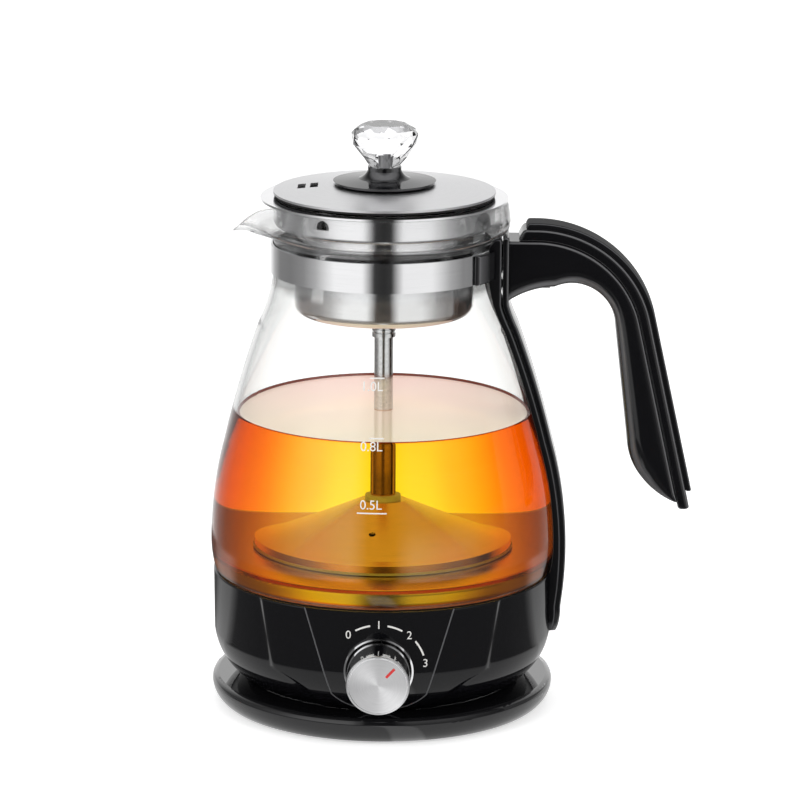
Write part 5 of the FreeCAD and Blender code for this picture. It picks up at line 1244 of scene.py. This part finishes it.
def make_levels():
    """Three short lines (number, height, number above, length, shift) on the glass."""
    marks = []
    for words, height, above, length, shift in LEVELS:
        marks.append((*flat_bar(length, MARK_WIDTH), MARK_ACROSS + shift, height))
        marks.append((*flat_text(words, MARK_SIZE), MARK_ACROSS - NUMBER_BACK, height + above))
    return laid_on("level_marks", marks, glass_side(0))


make_levels()

# %% Dial marks
DIAL_CENTRE, DIAL_RING, DIAL_SIZE, DIAL_WIDTH = 31.2, 18.4, 4.6, 0.7
STOPS, STOP_GAP = (-40, 0, 40, 82), 21


def make_dial():
    """A plain number at each stop of the knob, with a curved line between two stops."""
    marks = []
    for number, degrees in enumerate(STOPS):
        angle = math.radians(degrees)
        marks.append((*flat_text(str(number), DIAL_SIZE), DIAL_RING * math.sin(angle),
                      DIAL_CENTRE + DIAL_RING * math.cos(angle)))
    for start, end in zip(STOPS, STOPS[1:]):
        middle = math.radians((start + end) / 2)
        cosine, sine = math.cos(middle), math.sin(middle)
        points, faces = flat_bar(DIAL_RING * math.radians(end - start - STOP_GAP), DIAL_WIDTH,
                                 DIAL_RING)
        x, y, z = points.T + np.array([(0,), (DIAL_RING,), (0,)])
        turn = np.stack([x * cosine + y * sine, y * cosine - x * sine, z], axis=1)
        marks.append((turn, faces, 0.0, DIAL_CENTRE))
    return laid_on("dial_marks", marks, housing_side(PANEL_RISE))


make_dial()

# %% [markdown]
# ## Studio
#
# The jug stands on a white table in a white room. What a polished surface shows is what stands
# around it, so for mirrors the room has two tall bright panels in front, left and right of the
# camera, a dark gap between them, dim sides and a white wall behind. For light that went through
# glass the room is a bright field: white behind the jug, dark at the sides, which draws the thin
# grey outlines of clear glass. Each is a function of the direction alone.

# %% Room for mirrors
def bearing(tree, x, y):
    """A direction's angle about Z from -Y, to the right of it or, with a minus, to the left."""
    return maths(tree, "ARCTAN2", x, maths(tree, "MULTIPLY", y, -1.0))


def compass(tree, angle):
    """A bearing as a share of half a turn, without its sign."""
    return maths(tree, "DIVIDE", maths(tree, "ABSOLUTE", angle), math.pi)


def mirror_room(tree, x, y, z):
    """Bright panels by compass direction, times a band in height that is lower on the right."""
    around = ramp(tree, compass(tree, bearing(tree, x, y)), [
        (0.0, 0.03), (0.05, 0.04), (0.115, 1.0), (0.28, 1.0), (0.33, 0.78), (0.40, 0.45),
        (0.49, 0.26), (0.60, 0.20), (0.72, 0.22), (0.80, 0.45), (0.90, 1.0), (1.0, 1.0)])
    rise = maths(tree, "MULTIPLY_ADD", z, 0.5, 0.5)
    left = ramp(tree, rise, [(0.0, 0.15), (0.28, 0.35), (0.33, 1.0), (0.60, 1.0),
                             (0.80, 0.75), (1.0, 0.75)])
    right = ramp(tree, rise, [(0.0, 0.6), (0.28, 0.7), (0.33, 1.0), (0.43, 0.9),
                              (0.50, 0.25), (0.70, 0.45), (1.0, 0.75)])
    front_right = maths(tree, "MULTIPLY", maths(tree, "GREATER_THAN", x, 0.0),
                        maths(tree, "LESS_THAN", y, 0.0))
    return mix(tree, 1.0, around, mix(tree, front_right, left, right), "MULTIPLY")


# %% World
SKY_LIGHT, FIELD_LIGHT = 0.5, 1.2


def make_world():
    """White to the camera, the room to mirrors, the bright field through glass, soft light else."""
    world = bpy.data.worlds.new("studio")
    bpy.context.scene.world = world
    world.use_nodes = True
    tree = world.node_tree
    x, y, z = split(tree, add_node(tree, "TexCoord").outputs["Generated"])
    path = add_node(tree, "LightPath").outputs
    field = ramp(tree, compass(tree, bearing(tree, x, y)), [(0.30, 0.10), (0.52, 0.22),
                                                            (0.62, 1.0)])
    field = mix(tree, 1.0, field, grey(FIELD_LIGHT), "MULTIPLY")
    light = mix(tree, path["Is Transmission Ray"], grey(SKY_LIGHT), field)
    light = mix(tree, in_mirror(tree), light, mirror_room(tree, x, y, z))
    light = mix(tree, path["Is Camera Ray"], light, grey(1.0))
    tree.links.new(light, tree.nodes["Background"].inputs["Color"])


make_world()
print("world", bpy.context.scene.world.name)

# %% [markdown]
# Three soft lamps give the object its plain light. They don't show in mirrors or through glass,
# where their square outlines would be seen. The room above is there for that.

# %% Lamps
LAMPS = {"left_panel": ((-1.1, -1.2, 1.0), 1.0, 11.0),
         "right_panel": ((1.2, -1.0, 0.9), 1.0, 8.0),
         "top_panel": ((0.0, 0.3, 1.6), 1.2, 5.0)}
LAMP_AIM = mathutils.Vector((0.0, 0.0, 0.11))
for name, (place, size, power) in LAMPS.items():
    light = bpy.data.lights.new(name, "AREA")
    light.energy = power
    light.size = size
    lamp = bpy.data.objects.new(name, light)
    lamp.location = place
    lamp.rotation_euler = (LAMP_AIM - mathutils.Vector(place)).to_track_quat("-Z", "Y").to_euler()
    lamp.visible_glossy = False
    lamp.visible_transmission = False
    bpy.context.collection.objects.link(lamp)
print("lamps", list(LAMPS))

# %% [markdown]
# In mirrors the table is a set of cards laid round the base: black in front, pale strips at both
# sides, and a slanting pale strip in front that the knob's face looks down on.

# %% Table
TABLE_HALF, TABLE_LIFT = 30.0, 0.55
SIDE_CARDS = [(0.0, 0.14), (0.55, 0.14), (0.61, 0.75), (0.70, 0.55), (0.77, 0.12), (1.0, 0.10)]
STRIP_TURN, STRIP_FROM = 2.2, 0.149
STRIP_EDGE, STRIP_END, FOOT_EDGE = (0.08, 0.16), (0.155, 0.178), (0.105, 0.13)
NEAR_TABLE = (0.27, 0.30)


def table_cards(tree):
    """The light of the cards by direction and distance, and how far out they reach."""
    place = add_node(tree, "NewGeometry").outputs["Position"]
    x, y, _ = split(tree, place)
    reach = add_node(tree, "VectorMath", {0: place}, operation="LENGTH").outputs["Value"]
    angle = bearing(tree, x, y)
    sides = ramp(tree, compass(tree, angle), SIDE_CARDS)
    slant = maths(tree, "MULTIPLY_ADD", reach, STRIP_TURN, -STRIP_TURN * STRIP_FROM)
    away = maths(tree, "ABSOLUTE", maths(tree, "ADD", angle, slant))
    strip = maths(tree, "MULTIPLY", between(tree, away, *STRIP_EDGE, 1.0, 0.0),
                  between(tree, reach, *STRIP_END, 1.0, 0.1))
    foot = between(tree, reach, *FOOT_EDGE, 0.6, 0.0)
    light = maths(tree, "MAXIMUM", maths(tree, "MAXIMUM", sides, strip), foot)
    glow = add_node(tree, "Emission", {"Color": grey(1.0), "Strength": light}).outputs[0]
    return glow, between(tree, reach, *NEAR_TABLE, 1.0, 0.0)


def make_floor():
    """A wide pale table, lifted to white where it is seen, with the cards for mirrors."""
    corners = TABLE_HALF * np.array([[(-1, -1, 0), (1, -1, 0)], [(-1, 1, 0), (1, 1, 0)]])
    table = grid_mesh("table", corners, close_columns=False)
    material, tree, shader = start_material("table_white", Base_Color=grey(0.92), Roughness=0.6,
                                            Emission_Color=grey(1.0))
    path = add_node(tree, "LightPath").outputs
    seen = maths(tree, "MAXIMUM", path["Is Camera Ray"], path["Is Transmission Ray"])
    tree.links.new(maths(tree, "MULTIPLY", seen, TABLE_LIFT), shader.inputs["Emission Strength"])
    clear_way = add_node(tree, "BsdfTransparent").outputs[0]
    card, near = table_cards(tree)
    mirror = add_node(tree, "MixShader", {0: near, 1: clear_way, 2: card}).outputs[0]
    either = add_node(tree, "MixShader", {0: in_mirror(tree), 1: shader.outputs[0], 2: mirror})
    tree.links.new(either.outputs[0], tree.nodes["Material Output"].inputs["Surface"])
    table.data.materials.append(material)


make_floor()
